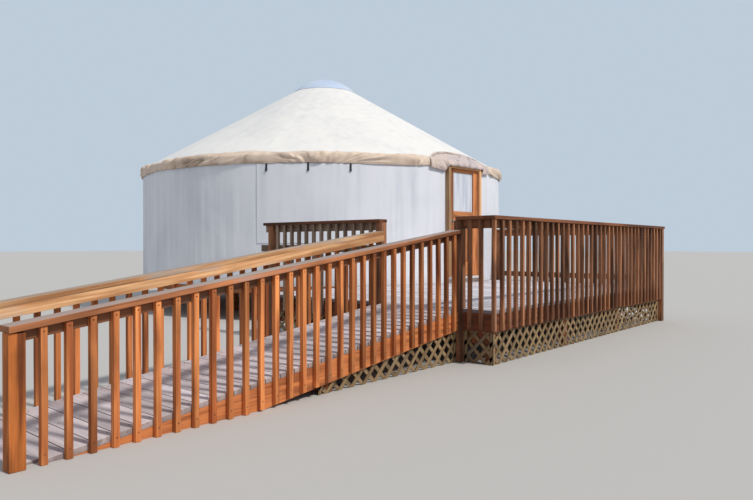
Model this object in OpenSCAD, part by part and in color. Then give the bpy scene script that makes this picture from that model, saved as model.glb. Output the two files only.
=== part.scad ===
// Round fabric yurt on a raised timber platform, with an entrance deck, a
// sloped access ramp, picket guards and a lattice skirt under the deck.
// Millimetres, Z up. The origin is the centre of the yurt at ground level, the
// door faces -Y but for a small turn, and the ramp climbs along +X to the deck.

/* [Yurt cover] */
// Outer radius of the wall cover
yurt_r = 3660; // [3400:10:3900]
// Thickness of the wall cover with its liner
wall_t = 6; // [3:1:12]
// Height of the eave above the deck
eave_h = 2095; // [2075:10:2300]
// Distance from the wall cover out to the eave line
eave_overhang = 12; // [8:1:40]
// Thickness of the roof cover
roof_t = 6; // [3:1:12]
// Height of the roof cover above the deck where the skylight sits on it
crown_h = 3860; // [3600:10:4200]
// Depth of the valance below the eave
valance_d = 140; // [100:5:200]
// Thickness of the valance
valance_t = 4; // [2:1:8]
// Outer radius of the skylight dome
dome_r = 675; // [600:5:760]
// Height of the skylight dome above its rim
dome_rise = 300; // [200:5:340]
// Thickness of the dome
dome_t = 5; // [3:1:10]

/* [Door diverter] */
// Half width of the rain diverter over the door
diverter_half_w = 800; // [650:10:900]
// How far the diverter climbs up the roof from the eave
diverter_rise = 280; // [200:10:360]
// Width of the diverter roll
diverter_w = 40; // [24:2:60]
// Height of the diverter roll above the roof
diverter_h = 24; // [12:2:40]

/* [Window flap] */
// Direction of the flap's centre, counted from the door towards the left
flap_dir = 45.7; // [40:0.1:60]
// Angle that the flap covers round the wall
flap_span = 26; // [16:1:36]
// Height of the flap's lower hem above the deck
flap_low = 690; // [500:10:1000]
// Height of the flap's upper hem above the deck
flap_high = 1950; // [1700:5:1950]
// Thickness of the flap
flap_t = 3; // [2:1:6]
// Width of a webbing strap
strap_w = 32; // [20:2:60]
// Length of a strap below the valance
strap_len = 130; // [80:5:200]
// Thickness of a strap
strap_t = 3; // [2:1:5]
// Angle between neighbouring straps
strap_step = 10.5; // [6:0.5:12]

/* [Wall lattice and rafters] */
// Number of laths each way round the whole wall
lath_count = 60; // [40:2:72]
// Width of a lath
lath_w = 36; // [24:2:50]
// Thickness of the lath layer
lath_t = 12; // [8:1:20]
// Slope of the laths from upright
lath_lean = 45; // [38:1:48]
// Number of rafters
rafter_count = 32; // [24:1:40]
// Width of a rafter
rafter_w = 38; // [28:1:50]
// Depth of a rafter
rafter_d = 89; // [70:1:110]
// Outer radius of the centre ring
ring_r = 640; // [580:5:650]
// Width of the centre ring across its wall
ring_w = 76; // [50:2:100]
// Depth of the centre ring
ring_d = 150; // [130:5:200]
// Radius of the tension cable on top of the lattice
cable_r = 5; // [3:1:5]

/* [Yurt platform] */
// Height of the yurt floor above the deck
floor_rise = 115; // [90:5:150]
// Thickness of the yurt floor
floor_t = 38; // [20:1:50]
// Thickness of the bent rim under the floor
hoop_t = 24; // [12:1:40]
// Depth of the rim and the joists under the floor
hoop_d = 184; // [140:1:200]
// Spacing of the joists under the floor
platform_joist_pitch = 610; // [400:10:700]
// Distance of the outer platform beams from the centre
platform_beam_x = 2350; // [1800:50:2500]
// Distance of the outer rows of platform piers from the centre
platform_pier_y = 2150; // [1800:50:2400]

/* [Timber] */
// Thickness of joists, rims, stringers and rail boards
joist_w = 38; // [30:1:45]
// Depth of deck rims, joists and ramp stringers
joist_d = 184; // [150:1:200]
// Width of the beams
beam_w = 89; // [70:1:110]
// Depth of the beams
beam_d = 140; // [100:1:150]
// Side of the square posts
post_w = 89; // [80:1:100]
// Thickness of deck and ramp boards
board_t = 38; // [25:1:45]

/* [Deck] */
// Height of the deck above the ground
deck_h = 560; // [480:10:700]
// Left edge of the deck
deck_left = -4110; // [-4400:10:-3950]
// Right edge of the deck
deck_right = 1110; // [900:10:1300]
// Front edge of the deck
deck_front = -6560; // [-6900:10:-6500]
// Back edge of the deck on the left of the yurt
deck_back = -2930; // [-3000:10:-2500]
// Gap between the deck and the wall cover
deck_gap = 10; // [5:1:30]
// Line across the deck where its two sections meet
section_x = -1330; // [-1600:10:-1000]
// Width of the open joint between the two sections
section_gap = 8; // [4:1:14]
// Spacing of the deck joists
deck_joist_pitch = 406; // [300:2:450]
// Number of beams under the deck
deck_beam_count = 4; // [3:1:5]

/* [Ramp] */
// Near edge of the ramp
ramp_near = -6160; // [-6200:10:-6000]
// Far edge of the ramp
ramp_far = -5070; // [-5200:10:-4900]
// Length of the ramp from its foot to the deck
ramp_run = 4330; // [3800:10:5000]
// Distance from the deck to the posts halfway down the ramp
ramp_pier_out = 1900; // [1500:50:2200]

/* [Guards] */
// Height of the guard above the deck
guard_h = 958; // [900:1:1070]
// Height of the ramp guard above its foot
ramp_guard_foot = 792; // [760:1:900]
// Height of the ramp guard above the head of the ramp
ramp_guard_head = 824; // [760:1:860]
// Side of the square pickets
picket_w = 38; // [30:1:45]
// Spacing of the pickets
picket_pitch = 140; // [110:1:170]
// How far the pickets hang below the walking surface
picket_lap = 205; // [120:5:220]
// Width of the cap boards
cap_w = 140; // [130:1:150]
// Thickness of the cap boards
cap_t = 38; // [25:1:45]
// How far the deck's caps run past the middle of the posts at the head of the ramp
cap_lap = 20; // [0:1:44]
// Depth of the rail boards under the deck's caps
rail_d = 89; // [60:1:120]
// Depth of the rail boards under the ramp's caps
ramp_rail_d = 64; // [50:1:100]
// Depth of the board inside the far ramp guard's posts
inner_rail_d = 76; // [50:1:140]
// Height of the middle rail of the left guard above the deck
mid_rail_h = 660; // [500:10:700]
// Height of the foot rail of the right guard above the deck
foot_rail_h = 170; // [120:10:250]
// How far the left guard's middle rail runs past its last post
rail_tail = 190; // [60:5:250]
// How far the left guard's cap stops short of its middle rail
cap_short = 100; // [0:5:150]
// Distance of the right guard's end from the wall cover
guard_wall_gap = 20; // [12:1:60]

/* [Lattice skirt] */
// Width of a skirt strip
strip_w = 36; // [24:2:44]
// Thickness of one layer of strips
strip_t = 8; // [6:1:10]
// Distance between crossings along the skirt
diamond = 150; // [120:5:200]
// Distance from the deck to where the ramp skirt begins
ramp_skirt_run = 2900; // [2000:50:3200]
// Least height of the ramp skirt
skirt_least = 75; // [60:5:120]

/* [Door] */
// Direction of the door from the yurt's centre, counted from the ramp's climb
door_dir = 267; // [264:0.5:272]
// Width of the door frame
frame_w = 960; // [900:10:1100]
// Top of the door frame above the deck
frame_top = 2030; // [1980:5:2035]
// Depth of the frame from front to back
frame_d = 95; // [80:1:120]
// How far the frame stands out in front of the wall cover
frame_proud = 40; // [30:1:70]
// Width of a jamb
jamb_w = 70; // [45:1:90]
// Depth of the head
head_d = 50; // [40:1:80]
// Thickness of the door leaf
leaf_t = 45; // [38:1:50]
// Running gap round the leaf
leaf_gap = 5; // [5:1:8]
// Gap between the sill and the leaf
leaf_lift = 8; // [6:1:15]
// Width of the stiles
stile_w = 115; // [90:1:140]
// Depth of the top rail
top_rail_d = 50; // [40:1:120]
// Depth of the middle rail
mid_rail_d = 90; // [70:1:140]
// Depth of the bottom rail
bottom_rail_d = 190; // [120:5:240]
// Height of the glass
pane_h = 690; // [500:10:900]
// Thickness of the glass
pane_t = 8; // [4:1:14]
// Thickness of the lower wooden panel
panel_t = 20; // [10:1:28]
// How far the sill stands out in front of the frame
sill_out = 60; // [30:5:90]
// Thickness of the sill plank
sill_t = 38; // [25:1:50]
// Height of the knob above the yurt floor
knob_h = 950; // [850:10:1100]
// Radius of the knob
knob_r = 28; // [20:1:35]
// Radius of the hinge pins
pin_r = 5; // [4:0.5:6]
// Length of a hinge
hinge_len = 100; // [80:2:140]
// Distance of the outer hinges from the ends of the leaf
hinge_inset = 200; // [150:10:300]

/* [Hidden] */
$fn = 360;
// Facets on small round pieces
small_fn = 48;
// Clearance between pieces that rest on each other
fit = 0.3;
// Radial clearance of a hinge knuckle on its pin
pin_fit = 0.05;
// Overlap of the two strip layers where they are nailed together
lap = 1;
// Share of a step by which the laths' crossings stand off the doorway's middle
lath_phase = 0.27;
// Long enough to cut right through any piece
far = 20000;

floor_z = deck_h + floor_rise;
eave_z = deck_h + eave_h;
eave_r = yurt_r + eave_overhang;
crown_z = deck_h + crown_h;
roof_slope = atan((crown_z - eave_z) / (eave_r - dome_r));
roof_drop = roof_t / cos(roof_slope);
cover_in = yurt_r - wall_t;
lattice_out = cover_in - fit;
lattice_in = lattice_out - lath_t;
frame_z = deck_h + frame_top;
cable_z = frame_z + fit + cable_r;
seat_z = cable_z + cable_r + fit;
wall_top = eave_z - roof_drop - fit;
roof_opening = ring_r - ring_w / 2;
split_left = 150;
split_right = 30;
door_half = asin(frame_w / 2 / yurt_r);
seam_angle = fit / yurt_r * 180 / PI;

deck_under = deck_h - board_t;
rim_under = deck_under - joist_d;
beam_under = rim_under - beam_d;
post_in = post_w / 2 - picket_w;
post_face = post_w - picket_w;
cap_out = (cap_w - post_w) / 4 + picket_w;
ramp_foot = deck_left - ramp_run;
left_post_y = deck_back - rail_tail - post_w / 2;
right_end_y = -sqrt(pow(yurt_r + guard_wall_gap, 2) - pow(deck_right - cap_w, 2));
skirt_t = 2 * strip_t - lap;
beam_first = deck_left + post_face;
beam_last = deck_right - post_face - beam_w;
beam_step = (beam_last - beam_first) / (deck_beam_count - 1);
pier_row_y = -(yurt_r + deck_gap) - 2 * post_w;

hoop_top = floor_z - floor_t;
hoop_under = hoop_top - hoop_d;
platform_beam_under = hoop_under - beam_d;

frame_front = yurt_r + frame_proud;
frame_back = frame_front - frame_d;
leaf_w = frame_w - 2 * jamb_w - 2 * leaf_gap;
leaf_bottom = floor_z + leaf_lift;
leaf_top = frame_z - head_d - leaf_gap;
pane_w = leaf_w - 2 * stile_w;
pane_top = leaf_top - top_rail_d;
panel_top = pane_top - pane_h - mid_rail_d;
panel_bottom = leaf_bottom + bottom_rail_d;
knuckle_r = pin_r + 3;
leaf_inner = -frame_back;
hinge_x = leaf_w / 2 + leaf_gap / 2;
hinge_y = leaf_inner + knuckle_r;
plate_t = 3;
plate_w = 45;
knuckle_gap = 1;
hinge_zs = [leaf_bottom + hinge_inset, (leaf_bottom + leaf_top) / 2, leaf_top - hinge_inset];

// Colours of the real materials
canvas = [0.90, 0.89, 0.87];
roof_white = [0.95, 0.94, 0.92];
tan_canvas = [0.72, 0.60, 0.47];
black_web = [0.07, 0.07, 0.08];
stain = [0.52, 0.27, 0.12];
grey_wood = [0.62, 0.60, 0.60];
pale_wood = [0.76, 0.62, 0.44];
skirt_wood = [0.55, 0.47, 0.38];
steel = [0.55, 0.55, 0.57];

// Height of the ramp's surface and of its guard above the ground at a place
function ramp_z(x) = deck_h * (x - ramp_foot) / ramp_run;
function ramp_cap_z(x) =
    ramp_guard_foot + (deck_h + ramp_guard_head - ramp_guard_foot) * (x - ramp_foot) / ramp_run;
// Height of the roof's outer face at a distance from the centre
function roof_z(r) = eave_z + (eave_r - r) * tan(roof_slope);
// Where a circle about the yurt's centre crosses a line of constant x
function circle_y(r, x) = sqrt(r * r - x * x);

// A box given by two opposite corners
module block(low, high) {
    translate(low) cube(high - low);
}

// A solid of revolution over part of a turn, from a rectangle in radius and height
module hoop(r_in, r_out, low, high, from_dir, to_dir) {
    rotate([0, 0, from_dir])
        rotate_extrude(angle = to_dir - from_dir)
            translate([r_in, low]) square([r_out - r_in, high - low]);
}

// A plank whose top follows a line in X and Z, between two places in Y
module sloped_plank(x0, x1, top0, top1, depth, y0, y1) {
    translate([0, y1, 0]) rotate([90, 0, 0]) linear_extrude(y1 - y0)
        polygon([[x0, top0 - depth], [x1, top1 - depth], [x1, top1], [x0, top0]]);
}

// Carries a run of guard from its start, turned about Z, with the inside at +Y
module run_from(x, y, turn) {
    translate([x, y, 0]) rotate([0, 0, turn]) children();
}

// Turns a piece that is drawn with the door at -Y to where the door stands
module at_door() {
    rotate([0, 0, door_dir - 270]) children();
}

// The doorway's column, wider than the frame by an extra on both sides
module doorway_column(extra = 0, low = -far, inner = 0) {
    at_door() block([-frame_w / 2 - extra, -far, low], [frame_w / 2 + extra, inner, far]);
}

// Everything that stands above the ground
module above_ground() {
    translate([-far, -far, 0]) cube(2 * far);
}

// Yurt platform

module platform_floor() color(pale_wood) {
    difference() {
        translate([0, 0, hoop_top]) cylinder(h = floor_t, r = lattice_out);
        doorway_column(fit, 0, -frame_back);
    }
}

module platform_hoop() color(stain) {
    difference() {
        hoop(lattice_out - hoop_t, lattice_out, hoop_under, hoop_top, 0, 360);
        doorway_column(0, deck_h, -frame_back);
    }
}

module platform_joists() color(pale_wood) {
    count = floor((lattice_out - hoop_t - joist_w) / platform_joist_pitch);
    intersection() {
        translate([0, 0, hoop_under]) cylinder(h = hoop_d, r = lattice_out - hoop_t - fit);
        difference() {
            for (i = [-count:count])
                translate([-far / 2, i * platform_joist_pitch - joist_w / 2, hoop_under])
                    cube([far, joist_w, hoop_d]);
            doorway_column(0, deck_h, -frame_back);
        }
    }
}

module platform_supports() color(stain) {
    for (x = [-platform_beam_x, 0, platform_beam_x]) {
        reach = circle_y(lattice_out - hoop_t, abs(x) + beam_w);
        block([x - beam_w / 2, -reach, platform_beam_under], [x + beam_w / 2, reach, hoop_under]);
        for (y = [-platform_pier_y, 0, platform_pier_y])
            block([x - post_w / 2, y - post_w / 2, 0], [x + post_w / 2, y + post_w / 2, platform_beam_under]);
    }
}

// Yurt walls

module wall_part(from_dir, to_dir) {
    difference() {
        hoop(cover_in, yurt_r, deck_h, wall_top, from_dir, to_dir - seam_angle);
        doorway_column();
    }
}

module wall_left() color(canvas) wall_part(split_left, door_dir);
module wall_back() color(canvas) wall_part(split_right, split_left);
module wall_right() color(canvas) wall_part(door_dir - 360, split_right);

module wall_over_door() color(canvas) {
    intersection() {
        hoop(cover_in, yurt_r, frame_z + fit, wall_top, door_dir - 2 * door_half, door_dir + 2 * door_half);
        doorway_column(-fit);
    }
}

// Crossed laths, cut from a thin drum by leaning slabs set round it, with an upright
// lath at each end of the section and at the doorway
module lattice_part(from_dir, to_dir) {
    height = frame_z - floor_z;
    middle = (floor_z + frame_z) / 2;
    step = 360 / lath_count;
    reach = height * tan(lath_lean) / 2 / lattice_out * 180 / PI;
    first = ceil((from_dir - reach) / step) - 1;
    last = floor((to_dir + reach) / step);
    difference() {
        intersection() {
            hoop(lattice_in, lattice_out, floor_z, frame_z, from_dir, to_dir - seam_angle);
            union() {
                for (i = [first:last]) for (side = [-1, 1])
                    rotate([0, 0, (i + lath_phase) * step]) translate([lattice_out, 0, middle])
                        rotate([side * lath_lean, 0, 0])
                            cube([8 * lath_t, lath_w, height / cos(lath_lean) + lath_w], center = true);
                for (dir = [from_dir, to_dir]) rotate([0, 0, dir])
                    block([0, -lath_w, 0], [far, lath_w, far]);
                doorway_column(lath_w);
            }
        }
        doorway_column();
    }
}

module lattice_left() color(pale_wood) lattice_part(split_left, door_dir);
module lattice_back() color(pale_wood) lattice_part(split_right, split_left);
module lattice_right() color(pale_wood) lattice_part(door_dir - 360, split_right);

module tension_cable() color(steel) {
    translate([0, 0, cable_z]) rotate_extrude()
        translate([lattice_out - lath_t / 2, 0]) circle(r = cable_r, $fn = small_fn);
}

// Rafters, notched over the cable and butted against the centre ring
module rafters() color(pale_wood) {
    head = ring_r + fit;
    tail = lattice_out - fit;
    drop = rafter_d / cos(roof_slope);
    notch = eave_r + (eave_z - roof_drop - fit - drop - seat_z) / tan(roof_slope);
    for (i = [0:rafter_count - 1]) rotate([0, 0, (i + 0.5) * 360 / rafter_count])
        translate([0, rafter_w / 2, -roof_drop - fit]) rotate([90, 0, 0]) linear_extrude(rafter_w)
            polygon([
                [head, roof_z(head)], [tail, roof_z(tail)],
                [tail, seat_z + roof_drop + fit], [notch, seat_z + roof_drop + fit],
                [head, roof_z(head) - drop]]);
}

module centre_ring() color(pale_wood) {
    top = roof_z(ring_r) - roof_drop - fit;
    hoop(ring_r - ring_w, ring_r, top - ring_d, top, 0, 360);
}

// Roof

// A thin cone that follows the roof, between two radii and two heights above it
module roof_layer(r_in, r_out, low, high) {
    rotate_extrude() polygon([
        [r_in, roof_z(r_in) + low], [r_out, roof_z(r_out) + low],
        [r_out, roof_z(r_out) + high], [r_in, roof_z(r_in) + high]]);
}

module roof_cover() color(roof_white) roof_layer(roof_opening, eave_r, -roof_drop, 0);

module eave_valance() color(tan_canvas) {
    difference() {
        hoop(yurt_r + fit, yurt_r + fit + valance_t, eave_z - valance_d, wall_top, 0, 360);
        doorway_column(fit);
    }
}

// An arched roll on the roof that leads rain round the door
module rain_diverter() color(tan_canvas) {
    arch_r = (pow(diverter_half_w, 2) + pow(diverter_rise, 2)) / (2 * diverter_rise);
    intersection() {
        roof_layer(eave_r - 2 * diverter_rise, eave_r, fit, diverter_h);
        at_door() translate([0, -eave_r + diverter_rise - arch_r, 0]) difference() {
            cylinder(h = far, r = arch_r + diverter_w / 2);
            cylinder(h = far, r = arch_r - diverter_w / 2);
        }
    }
}

module skylight_dome() color([0.86, 0.87, 0.93]) {
    cap_r = (pow(dome_r, 2) + pow(dome_rise, 2)) / (2 * dome_rise);
    inner_rise = circle_y(cap_r - dome_t, roof_opening) - (cap_r - dome_rise);
    rim_z = max(roof_z(dome_r - 2 * dome_t), roof_z(roof_opening) - inner_rise) + fit;
    rotate_extrude() intersection() {
        translate([0, rim_z + dome_rise - cap_r]) difference() {
            circle(r = cap_r);
            circle(r = cap_r - dome_t);
        }
        translate([0, rim_z]) square([dome_r + 1, dome_rise + 1]);
    }
}

// Closed window flap with the straps that hold it when it is rolled up

module window_flap() color(canvas) {
    centre = door_dir - flap_dir;
    hoop(yurt_r + fit, yurt_r + fit + flap_t, deck_h + flap_low, deck_h + flap_high,
        centre - flap_span / 2, centre + flap_span / 2);
}

module flap_straps() color(black_web) {
    high = eave_z - valance_d - fit;
    half = strap_w / yurt_r * 90 / PI;
    r = yurt_r + flap_t + 2 * fit;
    for (i = [-1:1]) {
        at = door_dir - flap_dir + i * strap_step;
        hoop(r, r + strap_t, high - strap_len, high, at - half, at + half);
    }
}

// Door

module door_frame() color(stain) at_door() {
    difference() {
        block([-frame_w / 2, -frame_front, floor_z], [frame_w / 2, -frame_back, frame_z]);
        block([-frame_w / 2 + jamb_w, -far, 0], [frame_w / 2 - jamb_w, far, frame_z - head_d]);
    }
}

module door_sill() color(grey_wood) at_door() {
    block([-frame_w / 2, -frame_front - sill_out, floor_z - sill_t], [frame_w / 2, -frame_back, floor_z]);
    block([-frame_w / 2, -frame_front, deck_h], [frame_w / 2, -frame_front + joist_w, floor_z - sill_t]);
}

module door_leaf() color(stain) at_door() {
    y0 = leaf_inner - leaf_t;
    panel_y = leaf_inner - leaf_t / 2;
    difference() {
        block([-leaf_w / 2, y0, leaf_bottom], [leaf_w / 2, leaf_inner, leaf_top]);
        block([-pane_w / 2, -far, pane_top - pane_h], [pane_w / 2, far, pane_top]);
        for (side = [0, 1]) mirror([0, side, 0]) translate([0, side == 0 ? panel_y : -panel_y, 0])
            block([-pane_w / 2, panel_t / 2, panel_bottom], [pane_w / 2, far, panel_top]);
    }
}

module door_glass() color([0.75, 0.82, 0.88, 0.5]) at_door() {
    y = leaf_inner - leaf_t / 2;
    block([-pane_w / 2 + fit, y - pane_t / 2, pane_top - pane_h + fit],
        [pane_w / 2 - fit, y + pane_t / 2, pane_top - fit]);
}

module door_knobs() color(steel) at_door() {
    x = -leaf_w / 2 + stile_w / 2;
    for (side = [-1, 1]) {
        face = side < 0 ? leaf_inner - leaf_t : leaf_inner;
        translate([x, face, floor_z + knob_h]) rotate([-90 * side, 0, 0]) {
            cylinder(h = knob_r / 4, r = knob_r);
            cylinder(h = 1.6 * knob_r, r = knob_r / 3);
            translate([0, 0, 1.6 * knob_r]) sphere(r = 0.8 * knob_r);
        }
    }
}

module hinge_pins() color(steel) at_door() {
    third = hinge_len / 4;
    for (z = hinge_zs) {
        translate([hinge_x, hinge_y, z - hinge_len / 2]) {
            cylinder(h = hinge_len, r = pin_r);
            for (low = [0, hinge_len - third]) translate([0, 0, low]) cylinder(h = third, r = knuckle_r);
        }
        for (low = [-hinge_len / 2, hinge_len / 2 - third])
            block([hinge_x + leaf_gap / 2, leaf_inner, z + low],
                [hinge_x + plate_w, leaf_inner + plate_t, z + low + third]);
    }
}

module hinge_knuckles() color(steel) at_door() {
    half = hinge_len / 4 - knuckle_gap;
    for (z = hinge_zs) difference() {
        union() {
            translate([hinge_x, hinge_y, z - half]) cylinder(h = 2 * half, r = knuckle_r);
            block([hinge_x - plate_w, leaf_inner, z - half],
                [hinge_x - leaf_gap / 2, leaf_inner + plate_t, z + half]);
        }
        translate([hinge_x, hinge_y, z - hinge_len]) cylinder(h = 2 * hinge_len, r = pin_r + pin_fit);
    }
}

// Deck

// The deck's outline in plan, with the yurt's circle cut out of it
module deck_outline(inset = 0) {
    difference() {
        translate([deck_left + inset, deck_front + inset])
            square([deck_right - deck_left - 2 * inset, deck_back - deck_front - 2 * inset]);
        circle(r = yurt_r + deck_gap);
    }
}

// A square post given by its middle and its height
module post(x, y, high) {
    block([x - post_w / 2, y - post_w / 2, 0], [x + post_w / 2, y + post_w / 2, high]);
}

module deck_posts() {
    high = deck_h + guard_h - cap_t;
    post(deck_left + post_in, ramp_near + post_in, high);
    post(deck_left + post_in, ramp_far - post_in, high);
    post(deck_left + post_in, left_post_y, high);
    post(deck_right - post_in, deck_front + post_in, high);
    post(deck_right - post_in, right_end_y - post_w / 2, high);
}

module foot_posts() {
    high = ramp_cap_z(ramp_foot - post_w / 2) - cap_t;
    post(ramp_foot, ramp_near + post_in, high);
    post(ramp_foot, ramp_far - post_in, high);
}

module guard_posts() color(stain) {
    deck_posts();
    foot_posts();
}

module deck_floor() color(grey_wood) {
    difference() {
        translate([0, 0, deck_under]) linear_extrude(board_t) deck_outline();
        block([section_x - section_gap / 2, -far, 0], [section_x + section_gap / 2, 0, far]);
        deck_posts();
    }
}

module deck_rim() color(stain) {
    difference() {
        translate([0, 0, rim_under]) linear_extrude(joist_d) difference() {
            deck_outline();
            translate([deck_left + joist_w, deck_front + joist_w])
                square([deck_right - deck_left - 2 * joist_w, deck_back - deck_front - 2 * joist_w]);
        }
        deck_posts();
    }
}

module deck_joists() color(pale_wood) {
    span = deck_back - deck_front - 2 * joist_w;
    count = floor(span / deck_joist_pitch);
    difference() {
        for (i = [1:count]) translate([0, deck_front + joist_w + i * deck_joist_pitch, 0])
            block([deck_left + joist_w, -joist_w / 2, rim_under], [deck_right - joist_w, joist_w / 2, deck_under]);
        translate([0, 0, -1]) cylinder(h = far, r = yurt_r + deck_gap);
        deck_posts();
    }
}

module deck_supports() color(stain) {
    for (i = [0:deck_beam_count - 1]) {
        x = beam_first + i * beam_step;
        edge = max(abs(x), abs(x + beam_w));
        back = edge < yurt_r && -circle_y(yurt_r + deck_gap, edge) < deck_back
            ? -circle_y(yurt_r + deck_gap, min(abs(x), abs(x + beam_w)))
            : deck_back - joist_w;
        block([x, deck_front + joist_w, beam_under], [x + beam_w, min(back, deck_back - joist_w), rim_under]);
        for (y = [deck_front + joist_w, pier_row_y])
            block([x, y, 0], [x + beam_w, y + post_w, beam_under]);
    }
    for (y = [ramp_near + joist_w, ramp_far - joist_w - post_w])
        ramp_pier(deck_left - ramp_pier_out, y);
}

// Ramp

module ramp_pier(x, y) {
    intersection() {
        block([x - post_w / 2, y, 0], [x + post_w / 2, y + post_w, deck_h]);
        sloped_plank(ramp_foot, deck_left, -board_t - fit, deck_under - fit, deck_h, ramp_near, ramp_far);
    }
}

module ramp_floor() color(grey_wood) {
    head = deck_left - fit;
    difference() {
        intersection() {
            sloped_plank(ramp_foot, head, 0, ramp_z(head), board_t, ramp_near, ramp_far);
            above_ground();
        }
        deck_posts();
        foot_posts();
    }
}

module ramp_stringers() color(stain) {
    middle = (ramp_near + ramp_far) / 2;
    difference() {
        intersection() {
            for (y = [ramp_near, middle - joist_w / 2, ramp_far - joist_w])
                sloped_plank(ramp_foot, deck_left, -board_t - fit, deck_under - fit, joist_d, y, y + joist_w);
            above_ground();
        }
        deck_posts();
        foot_posts();
    }
}

// Guards

// Pickets between two places, from below the surface line up to the cap line
module pickets(x0, x1, surface0, surface1, cap0, cap1, drop) {
    count = round((x1 - x0) / picket_pitch);
    for (i = [1:count - 1]) {
        share = i / count;
        x = x0 + share * (x1 - x0);
        low = max(0, surface0 + share * (surface1 - surface0) - drop);
        side = abs(cap1 - cap0) / (x1 - x0) * picket_w / 2;
        high = cap0 + share * (cap1 - cap0) - cap_t - side;
        block([x - picket_w / 2, -picket_w, low], [x + picket_w / 2, 0, high]);
    }
}

module deck_pickets(length) {
    pickets(0, length, deck_h, deck_h, deck_h + guard_h, deck_h + guard_h, picket_lap);
}

// A sloped board under the ramp's caps, with its outer face at y
module ramp_board(from_x, y, depth) {
    to_x = deck_left - picket_w;
    sloped_plank(from_x, to_x, ramp_cap_z(from_x) - cap_t, ramp_cap_z(to_x) - cap_t, depth, y, y + joist_w);
}

module ramp_rails() color(stain) {
    head_x = deck_left - picket_w;
    start = ramp_foot - post_w / 2;
    for (y = [ramp_near - cap_out, ramp_far + cap_out - cap_w])
        sloped_plank(start, head_x, ramp_cap_z(start), ramp_cap_z(head_x), cap_t, y, y + cap_w);
    ramp_board(start, ramp_far - post_face - joist_w, inner_rail_d);
    difference() {
        for (y = [ramp_near, ramp_far - joist_w]) ramp_board(ramp_foot, y, ramp_rail_d);
        foot_posts();
    }
}

module near_ramp_pickets() color(stain) run_from(ramp_foot, ramp_near, 0)
    pickets(0, ramp_run, 0, deck_h, ramp_guard_foot, deck_h + ramp_guard_head, picket_lap);

module far_ramp_pickets() color(stain) run_from(deck_left, ramp_far, 180)
    pickets(0, ramp_run, deck_h, 0, deck_h + ramp_guard_head, ramp_guard_foot, picket_lap);

module deck_rails() color(stain) {
    cap_high = deck_h + guard_h;
    cap_low = cap_high - cap_t;
    difference() {
        union() {
            block([deck_left - cap_out, deck_front - cap_out, cap_low],
                [deck_right + cap_out, deck_front - cap_out + cap_w, cap_high]);
            block([deck_left - cap_out, deck_front - cap_out, cap_low],
                [deck_left - cap_out + cap_w, ramp_near + post_in + cap_lap, cap_high]);
            block([deck_right + cap_out - cap_w, deck_front, cap_low],
                [deck_right + cap_out, right_end_y, cap_high]);
            block([deck_left, deck_front, cap_low - rail_d], [deck_right, deck_front + joist_w, cap_low]);
            block([deck_left, deck_front, cap_low - rail_d], [deck_left + joist_w, ramp_near, cap_low]);
            for (high = [cap_low, deck_h + foot_rail_h])
                block([deck_right - joist_w, deck_front, high - rail_d], [deck_right, right_end_y, high]);
        }
        deck_posts();
    }
}

// Front run with the short return beside the ramp and the picket in their corner
module front_pickets() color(stain) {
    run_from(deck_left, deck_front, 0) deck_pickets(deck_right - deck_left);
    run_from(deck_left, ramp_near, -90) deck_pickets(ramp_near - deck_front);
    block([deck_left - picket_w, deck_front - picket_w, deck_h - picket_lap],
        [deck_left, deck_front, deck_h + guard_h - cap_t]);
}

module right_pickets() color(stain) run_from(deck_right, deck_front, 90)
    deck_pickets(right_end_y - deck_front);

module left_rails() color(stain) {
    cap_high = deck_h + guard_h;
    cap_low = cap_high - cap_t;
    cap_back = deck_back - cap_short;
    block([deck_left - cap_out, ramp_far - post_in - cap_lap, cap_low],
        [deck_left - cap_out + cap_w, cap_back, cap_high]);
    difference() {
        union() {
            block([deck_left, ramp_far, cap_low - rail_d], [deck_left + joist_w, cap_back, cap_low]);
            block([deck_left, ramp_far, deck_h + mid_rail_h - rail_d],
                [deck_left + joist_w, deck_back, deck_h + mid_rail_h]);
        }
        deck_posts();
    }
}

module left_pickets() color(stain) run_from(deck_left, left_post_y, -90)
    deck_pickets(left_post_y - ramp_far + post_in);

// Lattice skirt

// Crossed strips in two nailed layers, from x0 to x1 below a straight top line, with an
// upright batten at each end
module skirt(x0, x1, top0, top1) {
    high = max(top0, top1);
    first = ceil((x0 - high) / diamond);
    last = floor((x1 + high) / diamond);
    intersection() {
        translate([0, joist_w, 0]) rotate([90, 0, 0]) linear_extrude(skirt_t)
            polygon([[x0, 0], [x1, 0], [x1, top1], [x0, top0]]);
        union() for (layer = [0, 1]) {
            y = joist_w - skirt_t + layer * (strip_t - lap);
            for (i = [first:last]) translate([i * diamond, y, 0]) rotate([0, layer == 0 ? 45 : -45, 0])
                translate([-strip_w / 2, 0, -2 * high]) cube([strip_w, strip_t, 4 * high]);
            for (x = [x0, x1 - strip_w])
                translate([x, joist_w - skirt_t, 0]) cube([strip_w, skirt_t, high]);
        }
    }
}

module front_skirt() color(skirt_wood) {
    length = deck_right - deck_left;
    run_from(deck_left, deck_front, 0) skirt(0, length - post_face, rim_under, rim_under);
    run_from(deck_left, ramp_near, -90)
        skirt(picket_w, ramp_near - deck_front - joist_w - fit, rim_under, rim_under);
}

module side_skirts() color(skirt_wood) {
    run_from(deck_right, deck_front, 90)
        skirt(post_face, right_end_y - deck_front - post_w, rim_under, rim_under);
    run_from(deck_left, left_post_y, -90)
        skirt(post_w / 2, left_post_y - ramp_far + post_in - post_w / 2, rim_under, rim_under);
}

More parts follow.
